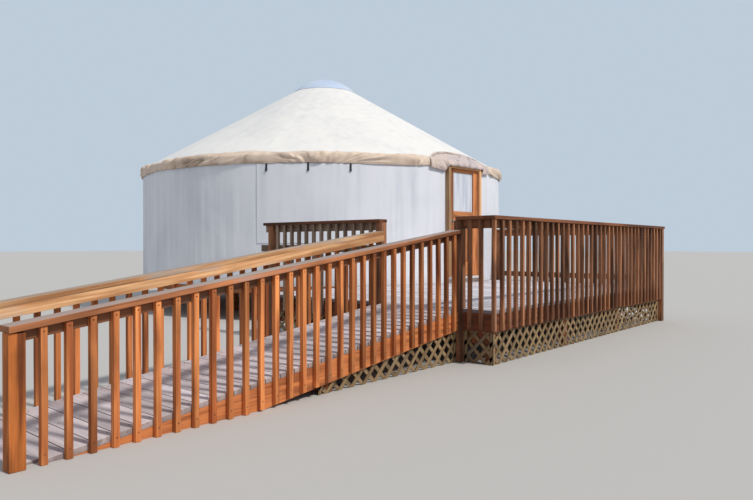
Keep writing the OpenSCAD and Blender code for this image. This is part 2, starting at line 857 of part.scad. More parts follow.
module ramp_skirts() color(skirt_wood) {
    drop = board_t + fit + joist_d;
    x0 = ramp_run - ramp_skirt_run;
    x1 = ramp_run - picket_w;
    rise = deck_h / ramp_run;
    start = max(x0, (drop + skirt_least) / rise);
    run_from(ramp_foot, ramp_near, 0) skirt(start, x1, start * rise - drop, x1 * rise - drop);
    run_from(deck_left, ramp_far, 180)
        skirt(picket_w, ramp_run - start, x1 * rise - drop, start * rise - drop);
}

platform_floor();
platform_hoop();
platform_joists();
platform_supports();
wall_left();
wall_back();
wall_right();
wall_over_door();
lattice_left();
lattice_back();
lattice_right();
tension_cable();
rafters();
centre_ring();
roof_cover();
eave_valance();
rain_diverter();
skylight_dome();
window_flap();
flap_straps();
door_frame();
door_sill();
door_leaf();
door_glass();
door_knobs();
hinge_pins();
hinge_knuckles();
deck_floor();
deck_rim();
deck_joists();
deck_supports();
ramp_floor();
ramp_stringers();
guard_posts();
ramp_rails();
near_ramp_pickets();
far_ramp_pickets();
deck_rails();
front_pickets();
right_pickets();
left_rails();
left_pickets();
front_skirt();
side_skirts();
ramp_skirts();
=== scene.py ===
"""Finish of a round fabric yurt with its entrance deck, access ramp, guards and skirt."""

import logging
import math
import random
from collections.abc import Callable, Iterator, Mapping, Sequence
from contextlib import contextmanager
from dataclasses import dataclass, field
from enum import Enum

import bmesh
import bpy
import numpy as np
from mathutils import Matrix, Vector, noise


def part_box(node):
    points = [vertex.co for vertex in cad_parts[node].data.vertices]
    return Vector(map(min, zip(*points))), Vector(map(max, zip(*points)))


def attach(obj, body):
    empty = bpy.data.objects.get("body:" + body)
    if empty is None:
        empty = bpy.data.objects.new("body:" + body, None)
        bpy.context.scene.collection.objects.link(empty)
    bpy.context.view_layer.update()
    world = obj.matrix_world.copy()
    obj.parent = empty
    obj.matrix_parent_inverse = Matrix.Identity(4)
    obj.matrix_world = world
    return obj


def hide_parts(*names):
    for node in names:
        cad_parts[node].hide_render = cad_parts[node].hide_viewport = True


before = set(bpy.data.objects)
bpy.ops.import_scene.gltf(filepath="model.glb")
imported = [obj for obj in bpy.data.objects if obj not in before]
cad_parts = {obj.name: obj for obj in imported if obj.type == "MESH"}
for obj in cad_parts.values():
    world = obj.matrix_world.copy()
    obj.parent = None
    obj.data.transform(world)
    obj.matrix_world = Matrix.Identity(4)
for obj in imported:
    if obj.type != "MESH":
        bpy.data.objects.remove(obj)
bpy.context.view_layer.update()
log = logging.getLogger("yurt")

Tone = tuple[int, int, int]
Color = tuple[float, float, float]
Point = tuple[float, float, float]
Span = tuple[float, float]
Piece = bpy.types.Object

HAIR = 0.0005  # Clearance that keeps two faces from touching.


def srgb(tone: Tone) -> Color:
    """A colour as displayed, from 0 to 255, in the shader's linear values."""
    shares = (part / 255 for part in tone)
    return tuple(c / 12.92 if c < 0.04045 else ((c + 0.055) / 1.055) ** 2.4 for c in shares)


def clamp(value: float) -> float:
    """The value, kept between 0 and 1."""
    return min(1.0, max(0.0, value))


def bell(value: float, middle: float, width: float) -> float:
    """1 where the value is in the middle, falling off smoothly on both sides."""
    return math.exp(-((value - middle) / width) ** 2)


def steps(start: float, end: float, count: int) -> list[float]:
    """Evenly spaced values from start to end, both included."""
    return [start + (end - start) * i / count for i in range(count + 1)]


def polar(radius: float, turn: float, z: float) -> Vector:
    """The place at a distance and a direction, in radians, from the yurt's axis."""
    return Vector((radius * math.cos(turn), radius * math.sin(turn), z))


def ripple(*place: float) -> float:
    """Smooth noise between -1 and 1."""
    return noise.noise(Vector(place))


def tuck(*place: float) -> float:
    """1 in the narrow tucks of a cloth and 0 beside them."""
    return max(0.0, 1.0 - abs(ripple(*place)) * 5.0)


@dataclass(frozen=True)
class Wave:
    """One layer of folds.

    Attributes:
        height: How high the folds are.
        across: How many there are in a unit of the first direction.
        down: How many there are in a unit of the second.
        seed: Where their noise is read.
    """

    height: float
    across: float
    down: float
    seed: float


def folded(waves: Sequence[Wave], across: float, down: float) -> float:
    """The sum of some layers of folds at a place."""
    return sum(w.height * ripple(across * w.across, down * w.down, w.seed) for w in waves)


class Sock:
    """A node's output whose arithmetic adds Math nodes."""

    def __init__(self, graph: "Graph", socket: bpy.types.NodeSocket) -> None:
        """Keeps the socket with the graph that it belongs to."""
        self.graph, self.socket = graph, socket

    def call(self, operation: str, *others: "Sock | float") -> "Sock":
        """The result of a Math operation on this value and others."""
        return self.graph.math(operation, self, *others)

    def __add__(self, other: "Sock | float") -> "Sock":
        """The sum."""
        return self.call("ADD", other)

    def __sub__(self, other: "Sock | float") -> "Sock":
        """The difference."""
        return self.call("SUBTRACT", other)

    def __rsub__(self, other: float) -> "Sock":
        """The difference from a number."""
        return self.graph.math("SUBTRACT", other, self)

    def __mul__(self, other: "Sock | float") -> "Sock":
        """The product."""
        return self.call("MULTIPLY", other)

    __radd__ = __add__
    __rmul__ = __mul__


class Graph:
    """The node tree of a material or of the world."""

    def __init__(self, owner: bpy.types.Material | bpy.types.World) -> None:
        """Empties the owner's tree.

        Args:
            owner: The material or world.
        """
        owner.use_nodes = True
        self.owner, self.tree = owner, owner.node_tree
        self.tree.nodes.clear()

    @classmethod
    def of(cls, name: str) -> "Graph":
        """The graph of a new material with a name."""
        return cls(bpy.data.materials.new(name))

    def node(
        self,
        kind: str,
        settings: Mapping[str, object] | None = None,
        values: Mapping[int | str, object] | Sequence[object] = (),
        output: int | str = 0,
    ) -> Sock:
        """Adds a node.

        Args:
            kind: The node's type.
            settings: Its settings, which are set first.
            values: Values or links for its sockets, by name, number or order.
            output: The output to read.

        Returns:
            That output.
        """
        node = self.tree.nodes.new(kind)
        for key, value in (settings or {}).items():
            setattr(node, key, value)
        for key, value in values.items() if isinstance(values, Mapping) else enumerate(values):
            if isinstance(value, Sock):
                self.tree.links.new(value.socket, node.inputs[key])
            elif isinstance(value, tuple) and len(value) < len(node.inputs[key].default_value):
                node.inputs[key].default_value = (*value, 1.0)
            else:
                node.inputs[key].default_value = value
        return Sock(self, node.outputs[output])

    def math(self, operation: str, *values: Sock | float) -> Sock:
        """One Math node on values in their order."""
        return self.node("ShaderNodeMath", {"operation": operation}, values)

    def place(self) -> Sock:
        """The place on the object."""
        return self.node("ShaderNodeTexCoord", output="Object")

    def normal(self) -> Sock:
        """The face's direction."""
        return self.node("ShaderNodeNewGeometry", output="Normal")

    def attribute(self, name: str, output: str = "Fac") -> Sock:
        """A value or vector that the mesh carries."""
        return self.node("ShaderNodeAttribute", {"attribute_name": name}, (), output)

    def split(self, vector: Sock) -> list[Sock]:
        """The three parts of a vector."""
        outputs = self.node("ShaderNodeSeparateXYZ", {}, [vector]).socket.node.outputs
        return [Sock(self, output) for output in outputs]

    def join(self, x: Sock | float, y: Sock | float, z: Sock | float) -> Sock:
        """A vector from three parts."""
        return self.node("ShaderNodeCombineXYZ", {}, [x, y, z])

    def scaled(self, vector: Sock | Color, scale: Sock | Point) -> Sock:
        """A vector or colour times a scale for each part."""
        return self.node("ShaderNodeVectorMath", {"operation": "MULTIPLY"}, [vector, scale])

    def noise(self, vector: Sock, scale: Point, detail: float = 3.0, twist: float = 0.0) -> Sock:
        """Noise about 0.5, with its blotches in a metre along each part, octaves and distortion."""
        values = {"Vector": self.scaled(vector, scale), "Scale": 1.0, "Detail": detail, "Distortion": twist}
        return self.node("ShaderNodeTexNoise", {}, values)

    def ease(self, value: Sock, low: float, high: float, start: float = 0.0, end: float = 1.0) -> Sock:
        """A smooth step of a value from start at low to end at high."""
        settings = {"interpolation_type": "SMOOTHSTEP"}
        return self.node("ShaderNodeMapRange", settings, [value, low, high, start, end])

    def mix(self, share: Sock | float, first: Sock | Color, second: Sock | Color) -> Sock:
        """A colour between two."""
        return self.node("ShaderNodeMix", {"data_type": "RGBA"}, {0: share, 6: first, 7: second}, 2)

    def shade(self, color: Sock | Color, factor: Sock) -> Sock:
        """A colour made lighter or darker by a factor."""
        return self.scaled(color, self.join(factor, factor, factor))

    def bump(self, height: Sock, depth: float, strength: float = 1.0, below: Sock | None = None) -> Sock:
        """A bump, over another where there is one.

        Args:
            height: Its height, from 0 to 1.
            depth: What a height of 1 is, in metres.
            strength: How strongly it shows.
            below: The bump under it.

        Returns:
            The normal.
        """
        values = {"Strength": strength, "Distance": depth, "Height": height}
        if below is not None:
            values["Normal"] = below
        return self.node("ShaderNodeBump", {}, values)

    def end(self, kind: str, shader: Sock) -> bpy.types.Material | bpy.types.World:
        """Links a shader to the tree's output.

        Args:
            kind: The output node's type.
            shader: The shader.

        Returns:
            The tree's owner.
        """
        output = self.tree.nodes.new(kind)
        self.tree.links.new(shader.socket, output.inputs[0])
        return self.owner

    def finish(self, **values: Sock | float | Color) -> bpy.types.Material:
        """Ends a material in a Principled shader, whose sockets are named with underscores."""
        named = {key.replace("_", " "): value for key, value in values.items()}
        return self.end("ShaderNodeOutputMaterial", self.node("ShaderNodeBsdfPrincipled", {}, named))


class Grain(Enum):
    """Where a timber's grain runs."""

    FITTED = "along each board, by its own attribute"
    ALONG_X = "along X"
    ALONG_Y = "along Y"
    RIM = "level, along each face of a rim"
    UPRIGHT = "along Z"
    RADIAL = "from the yurt's centre outwards"
    ROUND = "round the yurt"


@dataclass(frozen=True)
class Timber:
    """Timber with streaks, fibres and weathering.

    Attributes:
        name: The material's name.
        light: Colour of the early wood or where the staining is worn.
        dark: Colour of the late wood or where the staining is deep.
        grey: Colour where it has weathered.
        weather: How much of the faces has weathered, from 0 to 1.
        rough: Roughness.
        grain: Where the grain runs.
        top_weather: How much more the upward faces have weathered.
        split: How strongly drying cracks show, from 0 to 1.
        edge: How much painted shade darkens the faces that don't look up.
        painted_shade_blotch: How much painted dappled shade darkens broad blotches along the boards.
    """

    name: str
    light: Tone
    dark: Tone
    grey: Tone
    weather: float
    rough: float
    grain: Grain = Grain.FITTED
    top_weather: float = 0.0
    split: float = 0.3
    edge: float = 0.0
    painted_shade_blotch: float = 0.0

    # How many there are in a metre along, across and through the grain.
    BROAD = (0.5, 7.0, 7.0)
    STREAKS = (1.0, 42.0, 42.0)
    FIBRES = (6.0, 300.0, 300.0)
    PATCHES = (1.3, 4.0, 4.0)
    KNOTS = (1.3, 9.0, 9.0)
    CRACKS = (0.8, 120.0, 120.0)
    ARC = 3.6  # Metres that count for a radian round the yurt.

    def _place(self, graph: Graph) -> Sock:
        """The place on the board as along, across and through its grain.

        Args:
            graph: The material's graph.

        Returns:
            The place.
        """
        if self.grain is Grain.FITTED:
            return graph.attribute("grain", "Vector")
        x, y, z = graph.split(graph.place())
        straight = {Grain.ALONG_X: (x, y, z), Grain.ALONG_Y: (y, x, z), Grain.UPRIGHT: (z, x, y)}
        if self.grain in straight:
            return graph.join(*straight[self.grain])
        if self.grain is Grain.RIM:
            turned = graph.split(graph.normal())[0].call("ABSOLUTE").call("GREATER_THAN", 0.5)
            return graph.join(x * (1 - turned) + y * turned, z, x * turned + y * (1 - turned))
        out = (x * x + y * y).call("SQRT")
        turn = y.call("ARCTAN2", x) * self.ARC
        return graph.join(out, turn, z) if self.grain is Grain.RADIAL else graph.join(turn, z, out)

    def material(self) -> bpy.types.Material:
        """Builds the material.

        Returns:
            The material.
        """
        graph = Graph.of(self.name)
        light, dark, worn_grey = srgb(self.light), srgb(self.dark), srgb(self.grey)
        place = self._place(graph)
        tone = graph.attribute("tone") if self.grain is Grain.FITTED else 0.5
        broad = graph.noise(place, self.BROAD, 2.0, 0.7)
        streak = graph.noise(place, self.STREAKS, 5.0, 0.3)
        fibre = graph.noise(place, self.FIBRES, 2.0)
        rings = (broad * 26.0 + streak * 2.0).call("SINE") * 0.5 + 0.5
        patch = graph.noise(place, self.PATCHES, 5.0, 0.4)
        depth = graph.ease(streak * 0.42 + broad * 0.28 + fibre * 0.16 + rings * 0.14, 0.34, 0.64)
        color = graph.mix(depth, dark, light)
        # Painted dappled shade: broad darker blotches along the boards.
        if self.painted_shade_blotch > 0:
            dapple_shade = graph.ease(patch * 0.7 + broad * 0.3, 0.4, 0.58, 1 - self.painted_shade_blotch, 1.0)
            color = graph.shade(color, dapple_shade)
        up = graph.split(graph.normal())[2]
        worn = graph.ease(patch, 0.74 - 0.5 * self.weather, 0.96 - 0.5 * self.weather)
        if self.top_weather > 0:
            top = graph.ease(up, 0.35, 0.8) * (patch * 0.8 + self.top_weather)
            worn = (worn + top).call("MINIMUM", 1.0)
        grey = graph.shade(worn_grey, streak * 0.34 + fibre * 0.22 + 0.72)
        color = graph.mix(worn * (fibre * 0.5 + 0.75), color, grey)
        cells = {"Vector": graph.scaled(place, self.KNOTS), "Scale": 1.0}
        knot = graph.node("ShaderNodeTexVoronoi", {}, cells)
        heart = graph.shade(dark, graph.ease(knot, 0.0, 0.1))
        color = graph.mix(graph.ease(knot, 0.09, 0.03) * 0.6, color, heart)
        crack = graph.ease(graph.noise(place, self.CRACKS, 3.0, 0.2), 0.69, 0.74) * self.split
        color = graph.mix(crack * 0.75, color, graph.shade(dark, broad * 0.5))
        color = graph.shade(color, tone * 0.36 + 0.82)
        # Painted shade on the faces that don't look up.
        if self.edge > 0:
            color = graph.shade(color, graph.ease(up, 0.2, 0.6, 1 - self.edge, 1.0))
        normal = graph.bump(streak * 0.4 + fibre * 0.35 + rings * 0.2 - crack * 1.5, 0.0008, 0.6)
        rough = graph.ease(worn, 0.0, 1.0, self.rough, min(self.rough + 0.15, 0.95))
        return graph.finish(Base_Color=color, Roughness=rough, Specular_IOR_Level=0.3, Normal=normal)


@dataclass(frozen=True)
class Canvas:
    """Coated cloth of the covers, with soft mottling, soiling, painted shade in its tucks and a fine weave.

    Attributes:
        name: The material's name.
        color: Colour of the clean cloth.
        shadow: Colour in its creases and blotches.
        dirt_and_shade: Colour of the soiling, and of the painted shade in tucks and creases.
        crease: How strongly fine wrinkles show.
        base: Height up to which it gets darker towards its foot, or 0.
        rough: Roughness.
        pale: Colour that it fades to where its "fade" attribute is 0, or None. A cloth that
        has it gets painted shade where its "tuck" attribute is 1.
    """

    name: str
    color: Tone
    shadow: Tone
    dirt_and_shade: Tone
    crease: float
    base: float = 0.0
    rough: float = 0.62
    pale: Tone | None = None

    def material(self) -> bpy.types.Material:
        """Builds the material.

        Returns:
            The material.
        """
        graph = Graph.of(self.name)
        dirt_and_shade = srgb(self.dirt_and_shade)
        place = graph.place()
        z = graph.split(place)[2]
        cloud = graph.noise(place, (0.9, 0.9, 0.9), 4.0, 0.5)
        drip = graph.noise(place, (7.0, 7.0, 0.5), 3.0, 0.2)
        wrinkle = graph.noise(place, (2.6, 2.6, 1.4), 3.0, 0.8)
        fine = graph.noise(place, (14.0, 14.0, 7.0), 3.0, 0.8)
        painted_shade_blotch = graph.ease(cloud * 0.6 + drip * 0.4, 0.36, 0.74)
        color = graph.mix(painted_shade_blotch, srgb(self.color), srgb(self.shadow))
        # Darker towards the foot of the cloth, in the dirt colour.
        if self.base > 0:
            foot_darkening = graph.ease(z + drip * 0.25 + fine * 0.12, self.base + 0.36, self.base + 0.02)
            color = graph.mix(foot_darkening * 0.55, color, dirt_and_shade)
        color = graph.mix(graph.ease(drip, 0.6, 0.8) * 0.16, color, dirt_and_shade)
        # Painted shade in tucks, creases and hems, in the dirt colour, where the "tuck" attribute is high.
        if self.pale is not None:
            faded = graph.ease(graph.attribute("fade") + fine * 0.5, 0.2, 0.9)
            color = graph.mix(faded, srgb(self.pale), color)
            shaded_tucks = graph.ease(graph.attribute("tuck") + fine * 0.3, 0.25, 1.1) * 0.75
            color = graph.mix(shaded_tucks, color, dirt_and_shade)
        weave = graph.noise(place, (420.0, 420.0, 420.0), 1.0)
        normal = graph.bump(wrinkle, 0.02 * self.crease, 0.5)
        normal = graph.bump(fine, 0.004 * self.crease, 0.5, normal)
        normal = graph.bump(weave, 0.0005, 0.4, normal)
        rough = graph.ease(cloud, 0.3, 0.7, self.rough - 0.06, self.rough + 0.08)
        return graph.finish(Base_Color=color, Roughness=rough, Normal=normal, Sheen_Weight=0.08)


@dataclass(frozen=True)
class Metal:
    """Metal with fine scratches and a little tarnish.

    Attributes:
        name: The material's name.
        color: Colour of the bare metal.
        tarnish: Colour where it is dull.
        rough: Roughness.
    """

    name: str
    color: Tone
    tarnish: Tone
    rough: float = 0.35

    def material(self) -> bpy.types.Material:
        """Builds the material.

        Returns:
            The material.
        """
        graph = Graph.of(self.name)
        place = graph.place()
        spot = graph.noise(place, (60.0, 60.0, 60.0), 4.0, 0.5)
        scratch = graph.noise(place, (300.0, 300.0, 40.0), 2.0)
        color = graph.mix(graph.ease(spot, 0.45, 0.72), srgb(self.color), srgb(self.tarnish))
        rough = graph.ease(spot * 0.6 + scratch * 0.4, 0.3, 0.7, self.rough - 0.08, self.rough + 0.2)
        normal = graph.bump(scratch, 0.0002)
        return graph.finish(Base_Color=color, Metallic=1.0, Roughness=rough, Normal=normal)


@dataclass(frozen=True)
class Pane:
    """Glass or clouded acrylic.

    Attributes:
        name: The material's name.
        color: Its tint.
        haze: Colour of the film on it.
        clear: How much light passes through.
        rough: Roughness.
        streaks: How many soft upright streaks there are in a metre.
    """

    name: str
    color: Tone
    haze: Tone
    clear: float
    rough: float
    streaks: float

    def material(self) -> bpy.types.Material:
        """Builds the material.

        Returns:
            The material.
        """
        graph = Graph.of(self.name)
        place = graph.place()
        film = graph.noise(place, (self.streaks, self.streaks, self.streaks * 0.12), 3.0, 0.4)
        dust = graph.noise(place, (90.0, 90.0, 90.0), 3.0)
        hazy = graph.ease(film * 0.8 + dust * 0.2, 0.36, 0.66)
        return graph.finish(
            Base_Color=graph.mix(hazy, srgb(self.color), srgb(self.haze)),
            Roughness=graph.ease(dust, 0.35, 0.7, self.rough, self.rough + 0.12),
            Transmission_Weight=self.clear, IOR=1.45, Coat_Weight=0.6, Coat_Roughness=0.08,
            Normal=graph.bump(film, 0.0015, 0.4))


Finish = Timber | Canvas | Metal | Pane

STAIN = Timber("stained_timber", (236, 150, 88), (172, 94, 50), (164, 132, 108), 0.18, 0.74, painted_shade_blotch=0.4)
# Darker copy of the stain: painted shade on the deck's posts and its front and right guards.
STAIN_SHADED = Timber(
    "darkened_timber", (176, 118, 82), (106, 72, 52), (140, 118, 100), 0.28, 0.78, painted_shade_blotch=0.45)
# Darker, greyer copy of the stain: painted shade on the rail boards under the caps.
RAIL_BOARD_SHADED = Timber("deck_rail_timber", (138, 90, 62), (84, 56, 42), (116, 98, 84), 0.24, 0.78)
# Grey-brown copy of the stain: painted cool shade on the left guard.
STAIN_COOL_SHADE = Timber("left_guard_timber", (162, 138, 118), (112, 94, 80), (148, 136, 126), 0.3, 0.8)
POST = Timber("ramp_post_timber", (204, 118, 56), (134, 70, 32), (136, 96, 68), 0.2, 0.76, painted_shade_blotch=0.5)
# Pale cream for painted sunlight on the door frame, whose left side gets painted shade.
JAMB_SUNLIT = Timber("door_frame_timber", (240, 194, 146), (204, 148, 102), (176, 156, 138), 0.2, 0.66)
STAIN_RIM = Timber("ramp_side_timber", (214, 132, 78), (152, 88, 52), (146, 114, 92), 0.2, 0.76, Grain.RIM)
# Very dark copy of the rim stain: painted shade on the deck's rim.
RIM_SHADED = Timber("deck_rim_timber", (120, 68, 44), (70, 40, 28), (100, 78, 62), 0.2, 0.8, Grain.RIM)
STAIN_POST = Timber("stained_pier", (150, 88, 52), (92, 52, 32), (120, 95, 75), 0.25, 0.78, Grain.UPRIGHT)
# Pale copy of the cap timber: painted sunlight on the far ramp cap and its inner board.
CAP_SUNLIT = Timber(
    "pale_cap", (236, 188, 138), (192, 134, 88), (172, 158, 146), 0.45, 0.78,
    top_weather=0.25, split=0.8, painted_shade_blotch=0.3)
CAP = Timber(
    "weathered_cap", (212, 138, 92), (144, 88, 56), (166, 155, 150), 0.34, 0.78,
    top_weather=0.45, split=0.9, painted_shade_blotch=0.4)
# Dark copy of the cap timber: painted shade on the deck's caps.
CAP_SHADED = Timber(
    "deck_cap", (132, 82, 54), (82, 50, 34), (150, 140, 134), 0.22, 0.78, top_weather=0.45, split=0.9)
DECKING = Timber(
    "weathered_decking", (204, 198, 203), (172, 161, 164), (210, 208, 216), 0.5, 0.85,
    top_weather=0.3, split=0.7, edge=0.55)
RAMPING = Timber(
    "ramp_decking", (200, 184, 182), (164, 146, 144), (202, 196, 202), 0.4, 0.85,
    top_weather=0.2, split=0.7, edge=0.3)
# Grey-tan strips, made darker and greener by painted shade.
SKIRT = Timber("skirt_strips", (156, 130, 96), (106, 86, 62), (120, 110, 98), 0.4, 0.82)
CEDAR = Timber("door_timber", (212, 140, 88), (154, 92, 56), (160, 120, 94), 0.16, 0.62)
SILL = Timber(
    "door_sill_timber", (216, 208, 202), (170, 158, 150), (220, 217, 218), 0.5, 0.8,
    top_weather=0.3, split=0.6)
RAW_X = Timber("joist_timber", (204, 168, 120), (166, 128, 86), (160, 140, 118), 0.12, 0.76, Grain.ALONG_X)
RAW_Y = Timber("beam_timber", (176, 112, 68), (122, 74, 46), (140, 115, 95), 0.2, 0.76, Grain.ALONG_Y)
RAW_RADIAL = Timber(
    "rafter_timber", (212, 176, 128), (172, 130, 86), (176, 150, 120), 0.05, 0.7, Grain.RADIAL)
RAW_ROUND = Timber("lath_timber", (208, 170, 120), (166, 124, 82), (170, 145, 115), 0.05, 0.7, Grain.ROUND)
HOOP = Timber("hoop_timber", (170, 104, 62), (108, 62, 38), (130, 104, 84), 0.25, 0.78, Grain.ROUND)
FLOORING = Timber("floor_boards", (204, 158, 108), (160, 112, 70), (170, 140, 108), 0.08, 0.5, Grain.ALONG_Y)
# The faint blue in the wall's colour is painted cool shade.
WALL = Canvas("wall_canvas", (231, 234, 241), (208, 213, 224), (178, 168, 154), 0.2, base=0.56)
ROOF = Canvas("roof_canvas", (240, 238, 234), (224, 223, 224), (198, 190, 181), 0.08)
TAN = Canvas("valance_canvas", (229, 208, 188), (188, 162, 142), (124, 98, 80), 0.5, pale=(230, 225, 222))
HOOD = Canvas("hood_canvas", (214, 196, 184), (190, 180, 188), (120, 100, 92), 0.5, pale=(232, 228, 228))
WEB = Canvas("strap_webbing", (38, 38, 42), (24, 24, 27), (70, 66, 62), 0.2, rough=0.8)
RUSTED = Metal("screw_steel", (96, 84, 76), (70, 50, 40), 0.6)
STEEL = Metal("door_steel", (176, 172, 166), (120, 112, 104))
GALVANISED = Metal("cable_steel", (168, 168, 170), (118, 116, 114), 0.42)
# The pane's pale blue-white tint and whiter streaks, on nearly opaque glass, are painted sky reflection.
GLASS = Pane("door_glass", (206, 215, 231), (236, 240, 247), clear=0.12, rough=0.08, streaks=14.0)
ACRYLIC = Pane("dome_acrylic", (190, 206, 232), (208, 220, 238), clear=0.0, rough=0.3, streaks=2.0)


class Bench:
    """Modelling moves that are shared by all pieces."""

    _made: dict[str, bpy.types.Material] = {}

    @classmethod
    def dress(cls, piece: Piece, finish: Finish) -> None:
        """Gives a piece one finish all over. A finish's material is made once.

        Args:
            piece: The piece.
            finish: Its finish.
        """
        if finish.name not in cls._made:
            cls._made[finish.name] = finish.material()
        piece.data.materials.clear()
        piece.data.materials.append(cls._made[finish.name])

    @classmethod
    def take(cls, *pieces: Piece) -> None:
        """Makes some pieces the only ones that operators act on, the first of them active.

        Args:
            pieces: The pieces, or none to deselect everything.
        """
        bpy.ops.object.select_all(action="DESELECT")
        for piece in pieces:
            piece.select_set(True)
        if pieces:
            bpy.context.view_layer.objects.active = pieces[0]

    @classmethod
    def start(cls, shape: str, **sizes: object) -> Piece:
        """Adds a primitive that a piece starts from.

        Args:
            shape: The primitive's name.
            sizes: Its sizes and place.

        Returns:
            The primitive.
        """
        cls.take()
        getattr(bpy.ops.mesh, f"primitive_{shape}_add")(**sizes)
        return bpy.context.object

    @staticmethod
    def twin(master: Piece) -> Piece:
        """Copies a master with its mesh.

        Args:
            master: The master.

        Returns:
            The copy.
        """
        copy = master.copy()
        copy.data = master.data.copy()
        bpy.context.scene.collection.objects.link(copy)
        return copy

    @classmethod
    @contextmanager
    def editing(cls, piece: Piece, keep: Callable[[Vector], bool] | None = None) -> Iterator[None]:
        """Opens a piece in edit mode with some of its vertices selected, and closes it.

        Args:
            piece: The piece.
            keep: Tells which vertices are selected by their place, or all are.
        """
        cls.take(piece)
        bpy.ops.object.mode_set(mode="EDIT")
        bpy.ops.mesh.select_mode(type="VERT")
        bpy.ops.mesh.select_all(action="SELECT" if keep is None else "DESELECT")
        if keep is not None:
            mesh = bmesh.from_edit_mesh(piece.data)
            for vertex in mesh.verts:
                vertex.select = keep(vertex.co)
            mesh.select_flush_mode()
            bmesh.update_edit_mesh(piece.data)
        yield
        bpy.ops.object.mode_set(mode="OBJECT")

    @classmethod
    def outward(cls, sheet: Piece, facing: Vector | None = None) -> None:
        """Makes the faces of an open sheet look to one side.

        Args:
            sheet: The sheet.
            facing: The side that its first face looks to, or None for away from the yurt's axis.
        """
        with cls.editing(sheet):
            bpy.ops.mesh.normals_make_consistent(inside=False)
        sheet.data.update()
        face = sheet.data.polygons[0]
        if facing is None:
            facing = Vector((face.center.x, face.center.y, abs(face.center.z)))
        if face.normal.dot(facing) < 0:
            with cls.editing(sheet):
                bpy.ops.mesh.flip_normals()

    @classmethod
    def settle(cls, piece: Piece) -> None:
        """Puts a piece's place into its mesh."""
        cls.take(piece)
        bpy.ops.object.transform_apply(location=True, rotation=True, scale=True)

    @classmethod
    def modify(cls, piece: Piece, kind: str, **settings: object) -> None:
        """Adds a modifier and applies it.

        Args:
            piece: The piece.
            kind: The modifier's type.
            settings: Its settings.
        """
        cls.take(piece)
        modifier = piece.modifiers.new(kind.title(), kind)
        for key, value in settings.items():
            setattr(modifier, key, value)
        bpy.ops.object.modifier_apply(modifier=modifier.name)

    @classmethod
    def join(cls, parts: Sequence[Piece], name: str) -> Piece:
        """Joins parts into one piece.

        Args:
            parts: The parts.
            name: The piece's name.

        Returns:
            The piece.
        """
        cls.take(*parts)
        if len(parts) > 1:
            bpy.ops.object.join()
        parts[0].name = parts[0].data.name = name
        return parts[0]

    @staticmethod
    def move(piece: Piece, shift: Callable[[Vector], Vector]) -> None:
        """Moves each vertex of a piece to a new place.

        Args:
            piece: The piece.
            shift: Tells a vertex's new place from its old one.
        """
        for vertex in piece.data.vertices:
            vertex.co = shift(vertex.co)
        piece.data.update()

    @staticmethod
    def mark(piece: Piece, name: str, values: Sequence[float]) -> None:
        """Writes a value for each vertex, for the material to read."""
        attribute = piece.data.attributes.new(name, "FLOAT", "POINT")
        attribute.data.foreach_set("value", np.array(values, np.float32))

    @classmethod
    def smooth(cls, piece: Piece, angle: float) -> None:
        """Shades a piece smoothly where its faces meet under an angle in degrees."""
        cls.take(piece)
        bpy.ops.object.shade_smooth_by_angle(angle=math.radians(angle), keep_sharp_edges=False)

    @classmethod
    def thicken(cls, sheet: Piece, finish: Canvas, thickness: float, angle: float = 60.0) -> None:
        """Gives a cloth its thickness, inwards, and its finish.

        Args:
            sheet: The cloth.
            finish: Its finish.
            thickness: Its thickness.
            angle: Up to which angle between faces it is shaded smoothly.
        """
        cls.modify(sheet, "SOLIDIFY", thickness=thickness, offset=-1.0, use_rim=True)
        cls.smooth(sheet, angle)
        cls.dress(sheet, finish)


def hang(piece: Piece, slot: str, *stands_for: str, body: str = "root") -> None:
    """Hangs a piece on a body.

    Args:
        piece: The piece.
        slot: The record's material slot; not used.
        stands_for: The nodes that it replaces.
        body: The body that it rides on.
    """
    if stands_for:
        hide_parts(*stands_for)
    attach(piece, body)
    log.info("%s: %d faces", piece.name, len(piece.data.polygons))


class Along(Enum):
    """The direction of a board's length, as the turn from X, its axis and the order of the spans."""

    X = (0.0, "Z", (0, 1, 2))
    Y = (math.pi / 2, "Z", (1, 0, 2))
    Z = (-math.pi / 2, "Y", (2, 1, 0))


